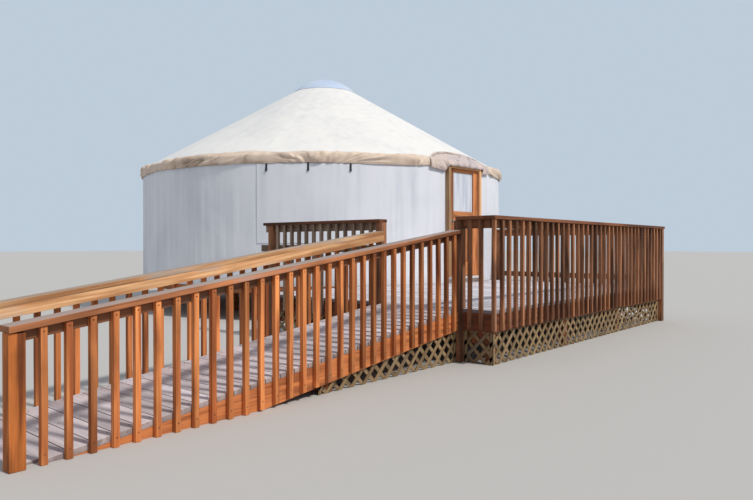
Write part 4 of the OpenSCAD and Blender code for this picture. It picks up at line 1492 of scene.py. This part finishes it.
@dataclass
class Guards:
    """Posts, caps, rails and pickets of deck and ramp.

    Attributes:
        site: The building's sizes.
        post_w: Side of the posts.
        picket_w: Side of the pickets.
        pitch: Spacing of the pickets.
        lap: How far the pickets hang below the surface.
        height: Height of the deck's guard.
        foot_h: Height of the ramp's guard at its foot.
        head_h: Height of the ramp's guard at its head, above the deck.
        cap_w: Width of the caps.
        cap_t: Thickness of the caps.
        rail_t: Thickness of the rail boards.
        rail_d: Depth of the boards under the deck's caps.
        ramp_rail_d: Depth of the boards under the ramp's caps.
        inner_d: Depth of the board inside the far ramp guard's posts.
        mid_rail: Height of the left guard's middle rail above the deck.
        foot_rail: Height of the right guard's foot rail above the deck.
        tail: How far the left guard's middle rail runs past its last post.
        cap_short: How far the left guard's cap stops short of that rail.
        cap_lap: How far the deck's caps run past the middle of the posts at the ramp's head.
        yurt_gap: Gap between the right guard and the yurt.
        fade: X where painted shade on the ramp's pickets begins and X where it is darkest.
    """

    site: Site
    post_w: float = 0.089
    picket_w: float = 0.038
    pitch: float = 0.14
    lap: float = 0.205
    height: float = 0.958
    foot_h: float = 0.792
    head_h: float = 0.824
    cap_w: float = 0.14
    cap_t: float = 0.038
    rail_t: float = 0.038
    rail_d: float = 0.089
    ramp_rail_d: float = 0.064
    inner_d: float = 0.076
    mid_rail: float = 0.66
    foot_rail: float = 0.17
    tail: float = 0.19
    cap_short: float = 0.1
    cap_lap: float = 0.02
    yurt_gap: float = 0.02
    # Painted shade that darkens the ramp's pickets towards the deck.
    fade: Span = (-6.4, -4.4)

    @property
    def post_in(self) -> float:
        """Distance of a post's middle from the deck's edge, inwards."""
        return self.post_w / 2 - self.picket_w

    @property
    def cap_out(self) -> float:
        """How far a cap stands out from the deck's edge."""
        return (self.cap_w - self.post_w) / 4 + self.picket_w

    @property
    def right_end(self) -> float:
        """Where the right guard ends at the yurt."""
        radius = self.site.wall_r + self.yurt_gap
        return -math.sqrt(radius ** 2 - (self.site.deck_right - self.cap_w) ** 2)

    @property
    def left_post(self) -> float:
        """Place of the left guard's last post."""
        return self.site.deck_back - self.tail - self.post_w / 2

    def deck_posts(self) -> list[Span]:
        """Middles of the posts that stand in the deck.

        Returns:
            Their X and Y.
        """
        site, inset = self.site, self.post_in
        left, right = site.deck_left + inset, site.deck_right - inset
        return [
            (left, site.ramp_near + inset), (left, site.ramp_far - inset), (left, self.left_post),
            (right, site.deck_front + inset), (right, self.right_end - self.post_w / 2),
        ]

    def ramp_cap_z(self, x: float) -> float:
        """Height of the ramp guard's cap at a place."""
        share = (x - self.site.ramp_foot) / (self.site.deck_left - self.site.ramp_foot)
        return self.foot_h + (self.site.deck_h + self.head_h - self.foot_h) * share

    def spread(self, start: float, end: float) -> list[float]:
        """Places of pickets between two posts, at even spacing."""
        return steps(start, end, round(abs(end - start) / self.pitch))[1:-1]

    def posts(self) -> None:
        """Sets the posts, from the ground up to the caps."""
        site = self.site
        short = Lumber("ramp_post_timbers", POST, 0.005, 21, 0.001)
        tall = Lumber("deck_post_timbers", STAIN_SHADED, 0.005, 22, 0.001)
        foot_top = self.ramp_cap_z(site.ramp_foot - self.post_w / 2) - self.cap_t - HAIR
        for x, y in self.deck_posts():
            tall.stand(x, y, self.post_w, 0, site.deck_h + self.height - self.cap_t - HAIR)
        for y in (site.ramp_near + self.post_in, site.ramp_far - self.post_in):
            short.stand(site.ramp_foot, y, self.post_w, 0, foot_top)
        for wood in (short, tall):
            wood.piece("stained_timber", "guard_posts")

    def pickets(self) -> None:
        """Nails the pickets on the outer faces."""
        site, half, spread = self.site, self.picket_w / 2, self.spread
        left, right, front = site.deck_left - half, site.deck_right + half, site.deck_front - half
        ramp = [(x, max(0.0, site.ramp_z(x) - self.lap), self.ramp_cap_z(x - half) - self.cap_t - HAIR)
                for x in spread(site.ramp_foot, site.deck_left)]
        level = (site.deck_h - self.lap, site.deck_h + self.height - self.cap_t)
        corner = [(x, front) for x in spread(site.deck_left, site.deck_right)]
        corner += [(left, y) for y in spread(site.ramp_near, site.deck_front)] + [(left, front)]
        left_end = site.ramp_far - self.post_in
        rows = (
            ("near_pickets", "near_ramp_pickets", 31, STAIN, self.fade,
             [(x, site.ramp_near - half, low, high) for x, low, high in ramp]),
            ("far_pickets", "far_ramp_pickets", 32, STAIN, self.fade,
             [(x, site.ramp_far + half, low, high) for x, low, high in ramp]),
            ("front_guard_pickets", "front_pickets", 33, STAIN_SHADED, None, [(*at, *level) for at in corner]),
            ("right_guard_pickets", "right_pickets", 34, STAIN_SHADED, None,
             [(right, y, *level) for y in spread(site.deck_front, self.right_end)]),
            ("left_guard_pickets", "left_pickets", 35, STAIN_COOL_SHADE, None,
             [(left, y, *level) for y in spread(self.left_post, left_end)]),
        )
        for name, node, seed, finish, fade, places in rows:
            wood = Lumber(name, finish, 0.003, seed, 0.0025, fade)
            for x, y, low, high in places:
                wood.stand(x, y, self.picket_w, low, high)
            wood.piece("stained_timber", node)

    def ramp_rails(self) -> None:
        """Lays caps and rail boards along both sides of the ramp."""
        site, half = self.site, self.post_w / 2
        head, start, foot = site.deck_left - self.picket_w, site.ramp_foot - half, site.ramp_foot + half
        drop = self.cap_t * math.cos(math.atan2(self.ramp_cap_z(head) - self.ramp_cap_z(start), head - start))
        near = Lumber("near_ramp_cap", CAP, 0.006, 41, 0.0015)
        far = Lumber("far_ramp_cap", CAP_SUNLIT, 0.006, 47, 0.0015)
        rails = Lumber("ramp_nailers", RAIL_BOARD_SHADED, 0.004, 42, 0.001)

        def run(wood: Lumber, begin: float, y: float, under: float, width: float, depth: float) -> None:
            """Lays a board up the slope at a distance under the caps' tops."""
            ends = ((x, y, self.ramp_cap_z(x) - under) for x in (begin, head))
            wood.slope(*ends, width, depth)

        sides = ((near, site.ramp_near, -1), (far, site.ramp_far, 1))
        for wood, edge, side in sides:
            run(wood, start, edge + side * (self.cap_out - self.cap_w / 2), 0.0, self.cap_w, drop)
        inner = site.ramp_far - self.post_w + self.picket_w - self.rail_t / 2
        run(far, start, inner, self.cap_t, self.rail_t, self.inner_d)
        for _, edge, side in sides:
            run(rails, foot, edge - side * self.rail_t / 2, self.cap_t, self.rail_t, self.ramp_rail_d)
        for wood in (near, far, rails):
            wood.piece("stained_timber", "ramp_rails")

    def deck_rails(self) -> None:
        """Lays caps and rail boards round the deck."""
        site, post, width, inset = self.site, self.post_w, self.cap_w, self.post_in
        left, right, front = site.deck_left, site.deck_right, site.deck_front
        cap_left, cap_right, cap_front = left - self.cap_out, right + self.cap_out, front - self.cap_out
        thick, depth, joint = self.rail_t, self.rail_d, 2 * HAIR
        high = site.deck_h + self.height
        low = high - self.cap_t
        butt = cap_front + width + joint
        caps = Lumber("deck_caps", CAP_SHADED, 0.006, 43, 0.001)
        caps.lay((cap_left, cap_front, low), (cap_right, cap_front + width, high))
        caps.lay((cap_left, butt, low),
                 (cap_left + width, site.ramp_near + inset + self.cap_lap, high), Along.Y)
        caps.lay((cap_right - width, butt, low), (cap_right, self.right_end, high), Along.Y)
        caps.piece("stained_timber", "deck_rails")
        rails = Lumber("deck_rail_boards", RAIL_BOARD_SHADED, 0.004, 44, 0.001)
        rails.lay((left, front, low - depth), (right - post + self.picket_w, front + thick, low))
        rails.lay((left, front + thick, low - depth),
                  (left + thick, site.ramp_near - self.picket_w, low), Along.Y)
        for top in (low, site.deck_h + self.foot_rail):
            rails.lay((right - thick, front + post - self.picket_w, top - depth),
                      (right, self.right_end - post, top), Along.Y)
        rails.piece("stained_timber", "deck_rails")
        cap = Lumber("left_guard_cap", CAP_SHADED, 0.006, 45, 0.001)
        cap_back = site.deck_back - self.cap_short
        cap.lay((cap_left, site.ramp_far - inset - self.cap_lap, low),
                (cap_left + width, cap_back, high), Along.Y)
        cap.piece("stained_timber", "left_rails")
        boards = Lumber("left_guard_boards", STAIN_COOL_SHADE, 0.004, 46, 0.001)
        for top, end in ((low, cap_back), (site.deck_h + self.mid_rail, site.deck_back)):
            for y0, y1 in ((site.ramp_far - inset + post / 2, self.left_post - post / 2),
                           (self.left_post + post / 2, end)):
                boards.lay((left, y0, top - depth), (left + thick, y1, top), Along.Y)
        boards.piece("stained_timber", "left_rails")

    def build(self) -> None:
        """Builds all guards."""
        self.posts()
        self.pickets()
        self.ramp_rails()
        self.deck_rails()


@dataclass
class Decking:
    """Boards of the deck and of the ramp.

    Attributes:
        site: The building's sizes.
        guards: The guards, whose posts stand in the deck.
        width: Width of a board.
        gap: Gap between boards.
        depth: Thickness of a board.
        section_x: Where the deck's two sections meet.
        section_gap: Width of the open joint between them.
        clearance: Gap between boards and the yurt.
        fit: Gap between boards and posts.
        tight: How far the ramp's first and last board stop short of its edges.
    """

    site: Site
    guards: Guards
    width: float = 0.14
    gap: float = 0.005
    depth: float = 0.038
    section_x: float = -1.33
    section_gap: float = 0.010
    clearance: float = 0.010
    fit: float = 0.002
    tight: float = 0.052

    def sections(self) -> list[tuple[float, float, int]]:
        """Where each section of the deck begins, its boards' spacing and their number.

        Returns:
            The sections, from the left.
        """
        site, half = self.site, self.section_gap / 2
        found = []
        spans = ((site.deck_left, self.section_x - half), (self.section_x + half, site.deck_right))
        for low_x, high_x in spans:
            count = round((high_x - low_x) / (self.width + self.gap))
            found.append((low_x, (high_x - low_x + self.gap) / count, count))
        return found

    def ramp_courses(self) -> tuple[float, float, int]:
        """The ramp's angle, its boards' spacing and their number.

        Returns:
            The three.
        """
        run = self.site.deck_left - self.site.ramp_foot
        slant = math.hypot(run, self.site.deck_h)
        count = round(slant / (self.width + self.gap))
        return math.atan2(self.site.deck_h, run), slant / count, count

    def deck(self) -> None:
        """Lays the deck's boards from front to back and cuts them round the yurt and the posts."""
        site = self.site
        boards = Lumber("deck_boards", DECKING, 0.005, 11, 0.0012)
        radius = site.wall_r + self.clearance
        for low_x, pitch, count in self.sections():
            for i in range(count):
                x0, x1 = low_x + i * pitch, low_x + (i + 1) * pitch - self.gap
                near = min(abs(x0), abs(x1)) if x0 * x1 > 0 else 0.0
                far = max(abs(x0), abs(x1))
                back = site.deck_back
                if far < radius:
                    back = min(back, -math.sqrt(radius ** 2 - far ** 2))
                top = site.deck_h + boards.rng.uniform(-0.001, 0.001)
                board = boards.lay((x0, site.deck_front, top - self.depth), (x1, back, top), Along.Y)
                if near < radius and -math.sqrt(radius ** 2 - near ** 2) < site.deck_back:
                    self._scribe(board, x0, x1, radius)
        self._notch(boards.boards)
        boards.piece("weathered_timber", "deck_floor")

    @staticmethod
    def _scribe(board: Piece, x0: float, x1: float, radius: float) -> None:
        """Saws a board's back end along the yurt's circle.

        Args:
            board: The board.
            x0: Its left edge.
            x1: Its right edge.
            radius: The circle's radius.
        """
        ends = []
        for x in (x0, x1):
            x = math.copysign(min(abs(x), radius - 1e-4), x)
            ends.append(Vector((x, -math.sqrt(radius ** 2 - x ** 2), 0)))
        edge = ends[1] - ends[0]
        Lumber.trim(board, tuple(ends[0]), (-edge.y, edge.x, 0))

    def _notch(self, boards: Sequence[Piece]) -> None:
        """Cuts the boards round the posts.

        Args:
            boards: The boards.
        """
        reach = self.guards.post_w / 2 + self.fit
        for post in self.guards.deck_posts():
            for board in boards:
                if all(min(corner[i] for corner in board.bound_box) < post[i] + reach
                       and max(corner[i] for corner in board.bound_box) > post[i] - reach for i in (0, 1)):
                    cutter = Bench.start("cube", size=1, location=(*post, self.site.deck_h))
                    cutter.scale = (2 * reach, 2 * reach, 1.0)
                    Bench.settle(cutter)
                    Bench.modify(board, "BOOLEAN", operation="DIFFERENCE", object=cutter, solver="EXACT")
                    bpy.data.objects.remove(cutter)

    def ramp(self) -> None:
        """Lays the ramp's boards across it, down to a feathered one at its foot."""
        site, depth = self.site, self.depth
        boards = Lumber("ramp_boards", RAMPING, 0.005, 12, 0.001)
        angle, pitch, count = self.ramp_courses()
        wide, y = site.ramp_far - site.ramp_near, (site.ramp_near + site.ramp_far) / 2
        turn = Matrix.Rotation(-angle, 4, "Y") @ Matrix.Rotation(math.pi / 2, 4, "Z")
        for i in range(1, count):
            middle = (i + 0.5) * pitch
            x = site.ramp_foot + middle * math.cos(angle) + depth / 2 * math.sin(angle)
            z = middle * math.sin(angle) - depth / 2 * math.cos(angle)
            length = wide - 2 * (self.tight if i == count - 1 else 0.0)
            board = boards.board((length, pitch - self.gap, depth), Matrix.Translation((x, y, z)) @ turn)
            if z < depth:
                boards.trim(board, (0, 0, HAIR), (0, 0, -1))
        end = site.ramp_foot + pitch
        toe = boards.slope((site.ramp_foot, y, 2 * HAIR), (end, y, site.ramp_z(end)),
                           wide - 2 * self.tight, depth)
        boards.trim(toe, (0, 0, HAIR), (0, 0, -1))
        boards.piece("weathered_timber", "ramp_floor")


@dataclass
class Screws:
    """Screw heads of boards and pickets.

    Attributes:
        name: The piece's name.
        radius: Radius of a head.
        proud: How far a head stands out.
        depth: Depth of a head.
        heads: The heads driven so far.
        master: The head that is copied.
    """

    name: str
    radius: float = 0.0048
    proud: float = 0.001
    depth: float = 0.003
    heads: list[Piece] = field(default_factory=list)
    master: Piece = field(init=False)

    def __post_init__(self) -> None:
        """Models one head, a shallow disc with a socket, that faces +Z."""
        self.master = Bench.start("cylinder", vertices=8, radius=self.radius, depth=self.depth,
                                  location=(0, 0, self.proud - self.depth / 2))
        Bench.settle(self.master)
        with Bench.editing(self.master, lambda co: co.z > 0):
            bpy.ops.mesh.inset(thickness=self.radius * 0.5)
            bpy.ops.transform.translate(value=(0, 0, -self.proud * 0.9))

    def drive(self, at: Point, facing: Point = (0, 0, 1)) -> None:
        """Drives a screw.

        Args:
            at: Where its head meets the board.
            facing: The board's outward direction there.
        """
        head = Bench.twin(self.master)
        turn = Vector(facing).to_track_quat("Z", "Y").to_matrix().to_4x4()
        head.data.transform(Matrix.Translation(at) @ turn)
        self.heads.append(head)

    def piece(self) -> None:
        """Joins the heads into one piece."""
        bpy.data.objects.remove(self.master)
        made = Bench.join(self.heads, self.name)
        Bench.dress(made, RUSTED)
        hang(made, "steel")


@dataclass
class Fixings:
    """The screws that hold pickets and boards.

    Attributes:
        site: The building's sizes.
        guards: The guards that hold the pickets.
        decking: The boards' sizes.
        under_cap: Distance of a picket's upper screw from the cap.
        over_end: Distance of its lower screw from its end.
        joist_w: Thickness of the joists.
        joist_pitch: Spacing of the deck's joists.
        stringer_in: Distance of the ramp's outer screws from its edges.
        pair: Distance between the two screws of a board on a joist.
        off_wall: Distance from the wall within which there are no screws.
    """

    site: Site
    guards: Guards
    decking: Decking
    under_cap: float = 0.03
    over_end: float = 0.06
    joist_w: float = 0.038
    joist_pitch: float = 0.406
    stringer_in: float = 0.07
    pair: float = 0.09
    off_wall: float = 0.03

    def pickets(self) -> None:
        """Two screws through each picket of ramp and deck."""
        site, guards = self.site, self.guards
        screws, out = Screws("picket_screws"), guards.picket_w
        for x in guards.spread(site.ramp_foot, site.deck_left):
            low = max(0.0, site.ramp_z(x) - guards.lap) + self.over_end
            for z in (guards.ramp_cap_z(x) - guards.cap_t - self.under_cap, low):
                screws.drive((x, site.ramp_near - out, z), (0, -1, 0))
                screws.drive((x, site.ramp_far + out, z), (0, 1, 0))
        left_end = site.ramp_far - guards.post_in
        for z in (site.deck_h + guards.height - guards.cap_t - self.under_cap,
                  site.deck_h - guards.lap + self.over_end):
            for x in guards.spread(site.deck_left, site.deck_right):
                screws.drive((x, site.deck_front - out, z), (0, -1, 0))
            for y in guards.spread(site.deck_front, guards.right_end):
                screws.drive((site.deck_right + out, y, z), (1, 0, 0))
            rows = guards.spread(site.ramp_near, site.deck_front) + guards.spread(guards.left_post, left_end)
            for y in rows:
                screws.drive((site.deck_left - out, y, z), (-1, 0, 0))
        screws.piece()

    def boards(self) -> None:
        """Two screws through each board on each joist and stringer."""
        site, half = self.site, self.joist_w / 2
        screws, sides = Screws("board_screws"), (-self.pair / 2, self.pair / 2)
        first = site.deck_front + self.joist_w
        rows = [site.deck_front + half, site.deck_back - half]
        joists = int((site.deck_back - first) / self.joist_pitch)
        rows += [first + i * self.joist_pitch for i in range(1, joists + 1)]
        for low_x, pitch, count in self.decking.sections():
            for i in range(count):
                middle = low_x + (i + 0.5) * pitch - self.decking.gap / 2
                for x, y in ((middle + side, y) for side in sides for y in rows):
                    if math.hypot(x, y) > site.wall_r + self.off_wall:
                        screws.drive((x, y, site.deck_h))
        angle, pitch, count = self.decking.ramp_courses()
        rows = (site.ramp_near + self.stringer_in, (site.ramp_near + site.ramp_far) / 2,
                site.ramp_far - self.stringer_in)
        for i in range(1, count):
            for side, y in ((side, y) for side in sides for y in rows):
                along = (i + 0.5) * pitch + side
                screws.drive((site.ramp_foot + along * math.cos(angle), y, along * math.sin(angle)),
                             (-math.sin(angle), 0, math.cos(angle)))
        screws.piece()


@dataclass
class Skirt:
    """Crossed strips that close the space under deck and ramp.

    Attributes:
        site: The building's sizes.
        guards: The guards, whose posts the runs end at.
        width: Width of a strip.
        depth: Thickness of a strip.
        lap: How far the two layers are pressed together.
        diamond: Distance between crossings.
        rim: Thickness of the rim in front of which nothing stands.
        top: Height of the skirt under the deck.
    """

    site: Site
    guards: Guards
    width: float = 0.036
    depth: float = 0.008
    lap: float = 0.001
    diamond: float = 0.15
    rim: float = 0.038
    top: float = 0.338

    def panel(self, wood: Lumber, corner: Span, turn: float, ends: Span, tops: Span) -> None:
        """One run of crossed strips.

        Args:
            wood: The strips' lumber.
            corner: X and Y of the corner that the run is measured from.
            turn: Its turn in degrees, with the inside at +Y before it.
            ends: Distances from the corner where it begins and ends.
            tops: Its heights there.
        """
        (x0, x1), high, done = ends, max(tops), len(wood.boards)
        total = 2 * self.depth - self.lap
        lying, middle = Matrix.Rotation(math.pi / 2, 4, "X"), high / 2
        size = (high * math.sqrt(2) + self.width, self.width, self.depth)
        first, last = math.ceil((x0 - high) / self.diamond), math.floor((x1 + high) / self.diamond)
        for layer, lean in ((0, 1), (1, -1)):
            y = self.rim - total + layer * (self.depth - self.lap) + self.depth / 2
            tilt = Matrix.Rotation(-lean * math.pi / 4, 4, "Y") @ lying
            for i in range(first, last + 1):
                x = i * self.diamond + lean * high / 2
                if x0 - high < x < x1 + high:
                    wood.board(size, Matrix.Translation((x, y, middle)) @ tilt)
        upright = Matrix.Rotation(-math.pi / 2, 4, "Y")
        for x in (x0 + self.width / 2, x1 - self.width / 2):
            place = Matrix.Translation((x, self.rim - total / 2, middle)) @ upright
            wood.board((high + self.width, total, self.width), place)
        panel = Bench.join(wood.boards[done:], "panel")
        slope = Vector((tops[0] - tops[1], 0, x1 - x0)).normalized()
        for at, facing in (((0, 0, 0), (0, 0, -1)), ((x0, 0, 0), (-1, 0, 0)), ((x1, 0, 0), (1, 0, 0)),
                           ((x0, 0, tops[0] - HAIR), tuple(slope))):
            wood.trim(panel, at, facing)
        panel.data.transform(Matrix.Translation((*corner, 0)) @ Matrix.Rotation(math.radians(turn), 4, "Z"))
        wood.boards[done:] = [panel]

    def build(self) -> None:
        """Builds the skirts at the front, at the sides and beside the ramp."""
        site, guards, level = self.site, self.guards, (self.top, self.top)
        left, right, front, picket = site.deck_left, site.deck_right, site.deck_front, guards.picket_w
        face, half = guards.post_w - picket, guards.post_w / 2
        short = site.ramp_near - front - self.rim + 2 * self.depth - self.lap
        run = left - site.ramp_foot
        start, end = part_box("ramp_skirts")[0].x - site.ramp_foot, run - picket
        low, high = (at * (site.deck_h / run) - (site.deck_h - self.top) for at in (start, end))
        for name, node, seed, panels in (
            ("front_skirt_strips", "front_skirt", 61, (
                ((left, front), 0, (self.rim, right - left - face), level),
                ((left, site.ramp_near), -90, (picket, short), level))),
            ("side_skirt_strips", "side_skirts", 62, (
                ((right, front), 90, (face, guards.right_end - front - guards.post_w), level),
                ((left, guards.left_post), -90,
                 (half, guards.left_post - site.ramp_far + guards.post_in - half), level))),
            ("ramp_skirt_strips", "ramp_skirts", 63, (
                ((site.ramp_foot, site.ramp_near), 0, (start, end), (low, high)),
                ((left, site.ramp_far), 180, (picket, run - start), (high, low)))),
        ):
            wood = Lumber(name, SKIRT, 0.0015, seed)
            for panel in panels:
                self.panel(wood, *panel)
            wood.piece("skirt_timber", node)


@dataclass
class Structure:
    """The construction's own nodes, which keep their shape and get their finish.

    Attributes:
        finishes: Each node with its finish.
    """

    finishes: tuple[tuple[str, Finish], ...] = (
        ("platform_floor", FLOORING), ("platform_hoop", HOOP), ("platform_joists", RAW_X),
        ("platform_supports", RAW_Y), ("lattice_left", RAW_ROUND), ("lattice_back", RAW_ROUND),
        ("lattice_right", RAW_ROUND), ("tension_cable", GALVANISED), ("rafters", RAW_RADIAL),
        ("centre_ring", RAW_ROUND), ("skylight_dome", ACRYLIC), ("deck_rim", RIM_SHADED),
        ("deck_joists", RAW_X), ("deck_supports", STAIN_POST), ("ramp_stringers", STAIN_RIM),
    )

    def dress(self) -> None:
        """Gives each node its finish."""
        for node, finish in self.finishes:
            Bench.dress(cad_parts[node], finish)


@dataclass
class Studio:
    """Floor, light and camera.

    Attributes:
        eye: The camera's place.
        heading: Its heading from +X, in degrees.
        pitch: How far it looks down, in degrees.
        focal: Focal length in pixels of a frame of the given width.
        width: Width of the frame in pixels.
        reach: How far the camera sees.
        floor_size: Side of the floor.
        floor_tone: Colour of the floor.
        backdrop: Colour of the backdrop.
        sun: Strength of the sun.
        sun_color: Colour of the sun.
        sun_size: Angle that the sun takes in the sky, in degrees.
        sun_tilt: Its angle from straight above and its heading, in degrees.
        fill: Strength of the light from all round.
        fill_color: Colour of that light.
    """

    eye: Point = (-9.82, -9.93, 1.22)
    heading: float = 40.75
    pitch: float = 0.44
    focal: float = 650.0
    width: float = 753.0
    reach: float = 500.0
    floor_size: float = 240.0
    floor_tone: Tone = (192, 190, 187)
    backdrop: Tone = (190, 204, 218)
    sun: float = 2.62
    sun_color: Color = (1.0, 0.96, 0.90)
    sun_size: float = 5.0
    sun_tilt: Span = (43, 8)
    fill: float = 0.46
    fill_color: Color = (0.83, 0.90, 1.0)

    @staticmethod
    def _place(name: str, data: bpy.types.Camera | bpy.types.Light, tilt: float, heading: float) -> Piece:
        """Puts a camera or lamp in the scene.

        Args:
            name: Its name.
            data: The camera or lamp.
            tilt: Its angle from looking straight down, in degrees.
            heading: Its turn about Z, in degrees.

        Returns:
            Its object.
        """
        made = bpy.data.objects.new(name, data)
        bpy.context.scene.collection.objects.link(made)
        made.rotation_euler = (math.radians(tilt), 0, math.radians(heading))
        return made

    def camera(self) -> None:
        """Sets the camera at the photograph's place."""
        data = bpy.data.cameras.new("camera")
        data.sensor_width = 36.0
        data.lens = data.sensor_width * self.focal / self.width
        data.clip_end = self.reach
        camera = self._place("camera", data, 90 - self.pitch, self.heading - 90)
        camera.location = self.eye
        bpy.context.scene.camera = camera

    def floor(self) -> None:
        """Lays a plain pale floor."""
        floor = Bench.start("plane", size=self.floor_size, location=(0, 0, -2 * HAIR))
        floor.name = "studio_floor"
        finish = Graph.of("studio_floor").finish(Base_Color=srgb(self.floor_tone), Roughness=0.9)
        floor.data.materials.append(finish)

    def light(self) -> None:
        """Lights the object softly, with more light from its right front."""
        sun = bpy.data.lights.new("key", "SUN")
        sun.energy, sun.color, sun.angle = self.sun, self.sun_color, math.radians(self.sun_size)
        self._place("key", sun, *self.sun_tilt)
        bpy.context.scene.world = bpy.data.worlds.new("studio")
        graph = Graph(bpy.context.scene.world)
        seen = graph.node("ShaderNodeLightPath", output="Is Camera Ray")
        for ray in ("Is Glossy Ray", "Is Transmission Ray"):
            seen = seen.call("MAXIMUM", graph.node("ShaderNodeLightPath", output=ray))
        fill = graph.node("ShaderNodeBackground", {}, (self.fill_color, self.fill))
        backdrop = graph.node("ShaderNodeBackground", {}, (srgb(self.backdrop), 1.0))
        graph.end("ShaderNodeOutputWorld", graph.node("ShaderNodeMixShader", {}, (seen, fill, backdrop)))
        bpy.context.scene.view_settings.view_transform = "Standard"


def main() -> None:
    """Builds the yurt's finish piece by piece."""
    logging.basicConfig(level=logging.INFO, format="%(message)s")
    site = Site.read()
    log.info("site: %s", site)
    studio = Studio()
    studio.camera()
    studio.floor()
    studio.light()
    Structure().dress()
    doorway = Doorway(site)
    doorway.build()
    Covers(site, doorway).build()
    guards = Guards(site)
    guards.build()
    decking = Decking(site, guards)
    decking.deck()
    decking.ramp()
    Skirt(site, guards).build()
    fixings = Fixings(site, guards, decking)
    fixings.pickets()
    fixings.boards()


if __name__ == "__main__":
    main()
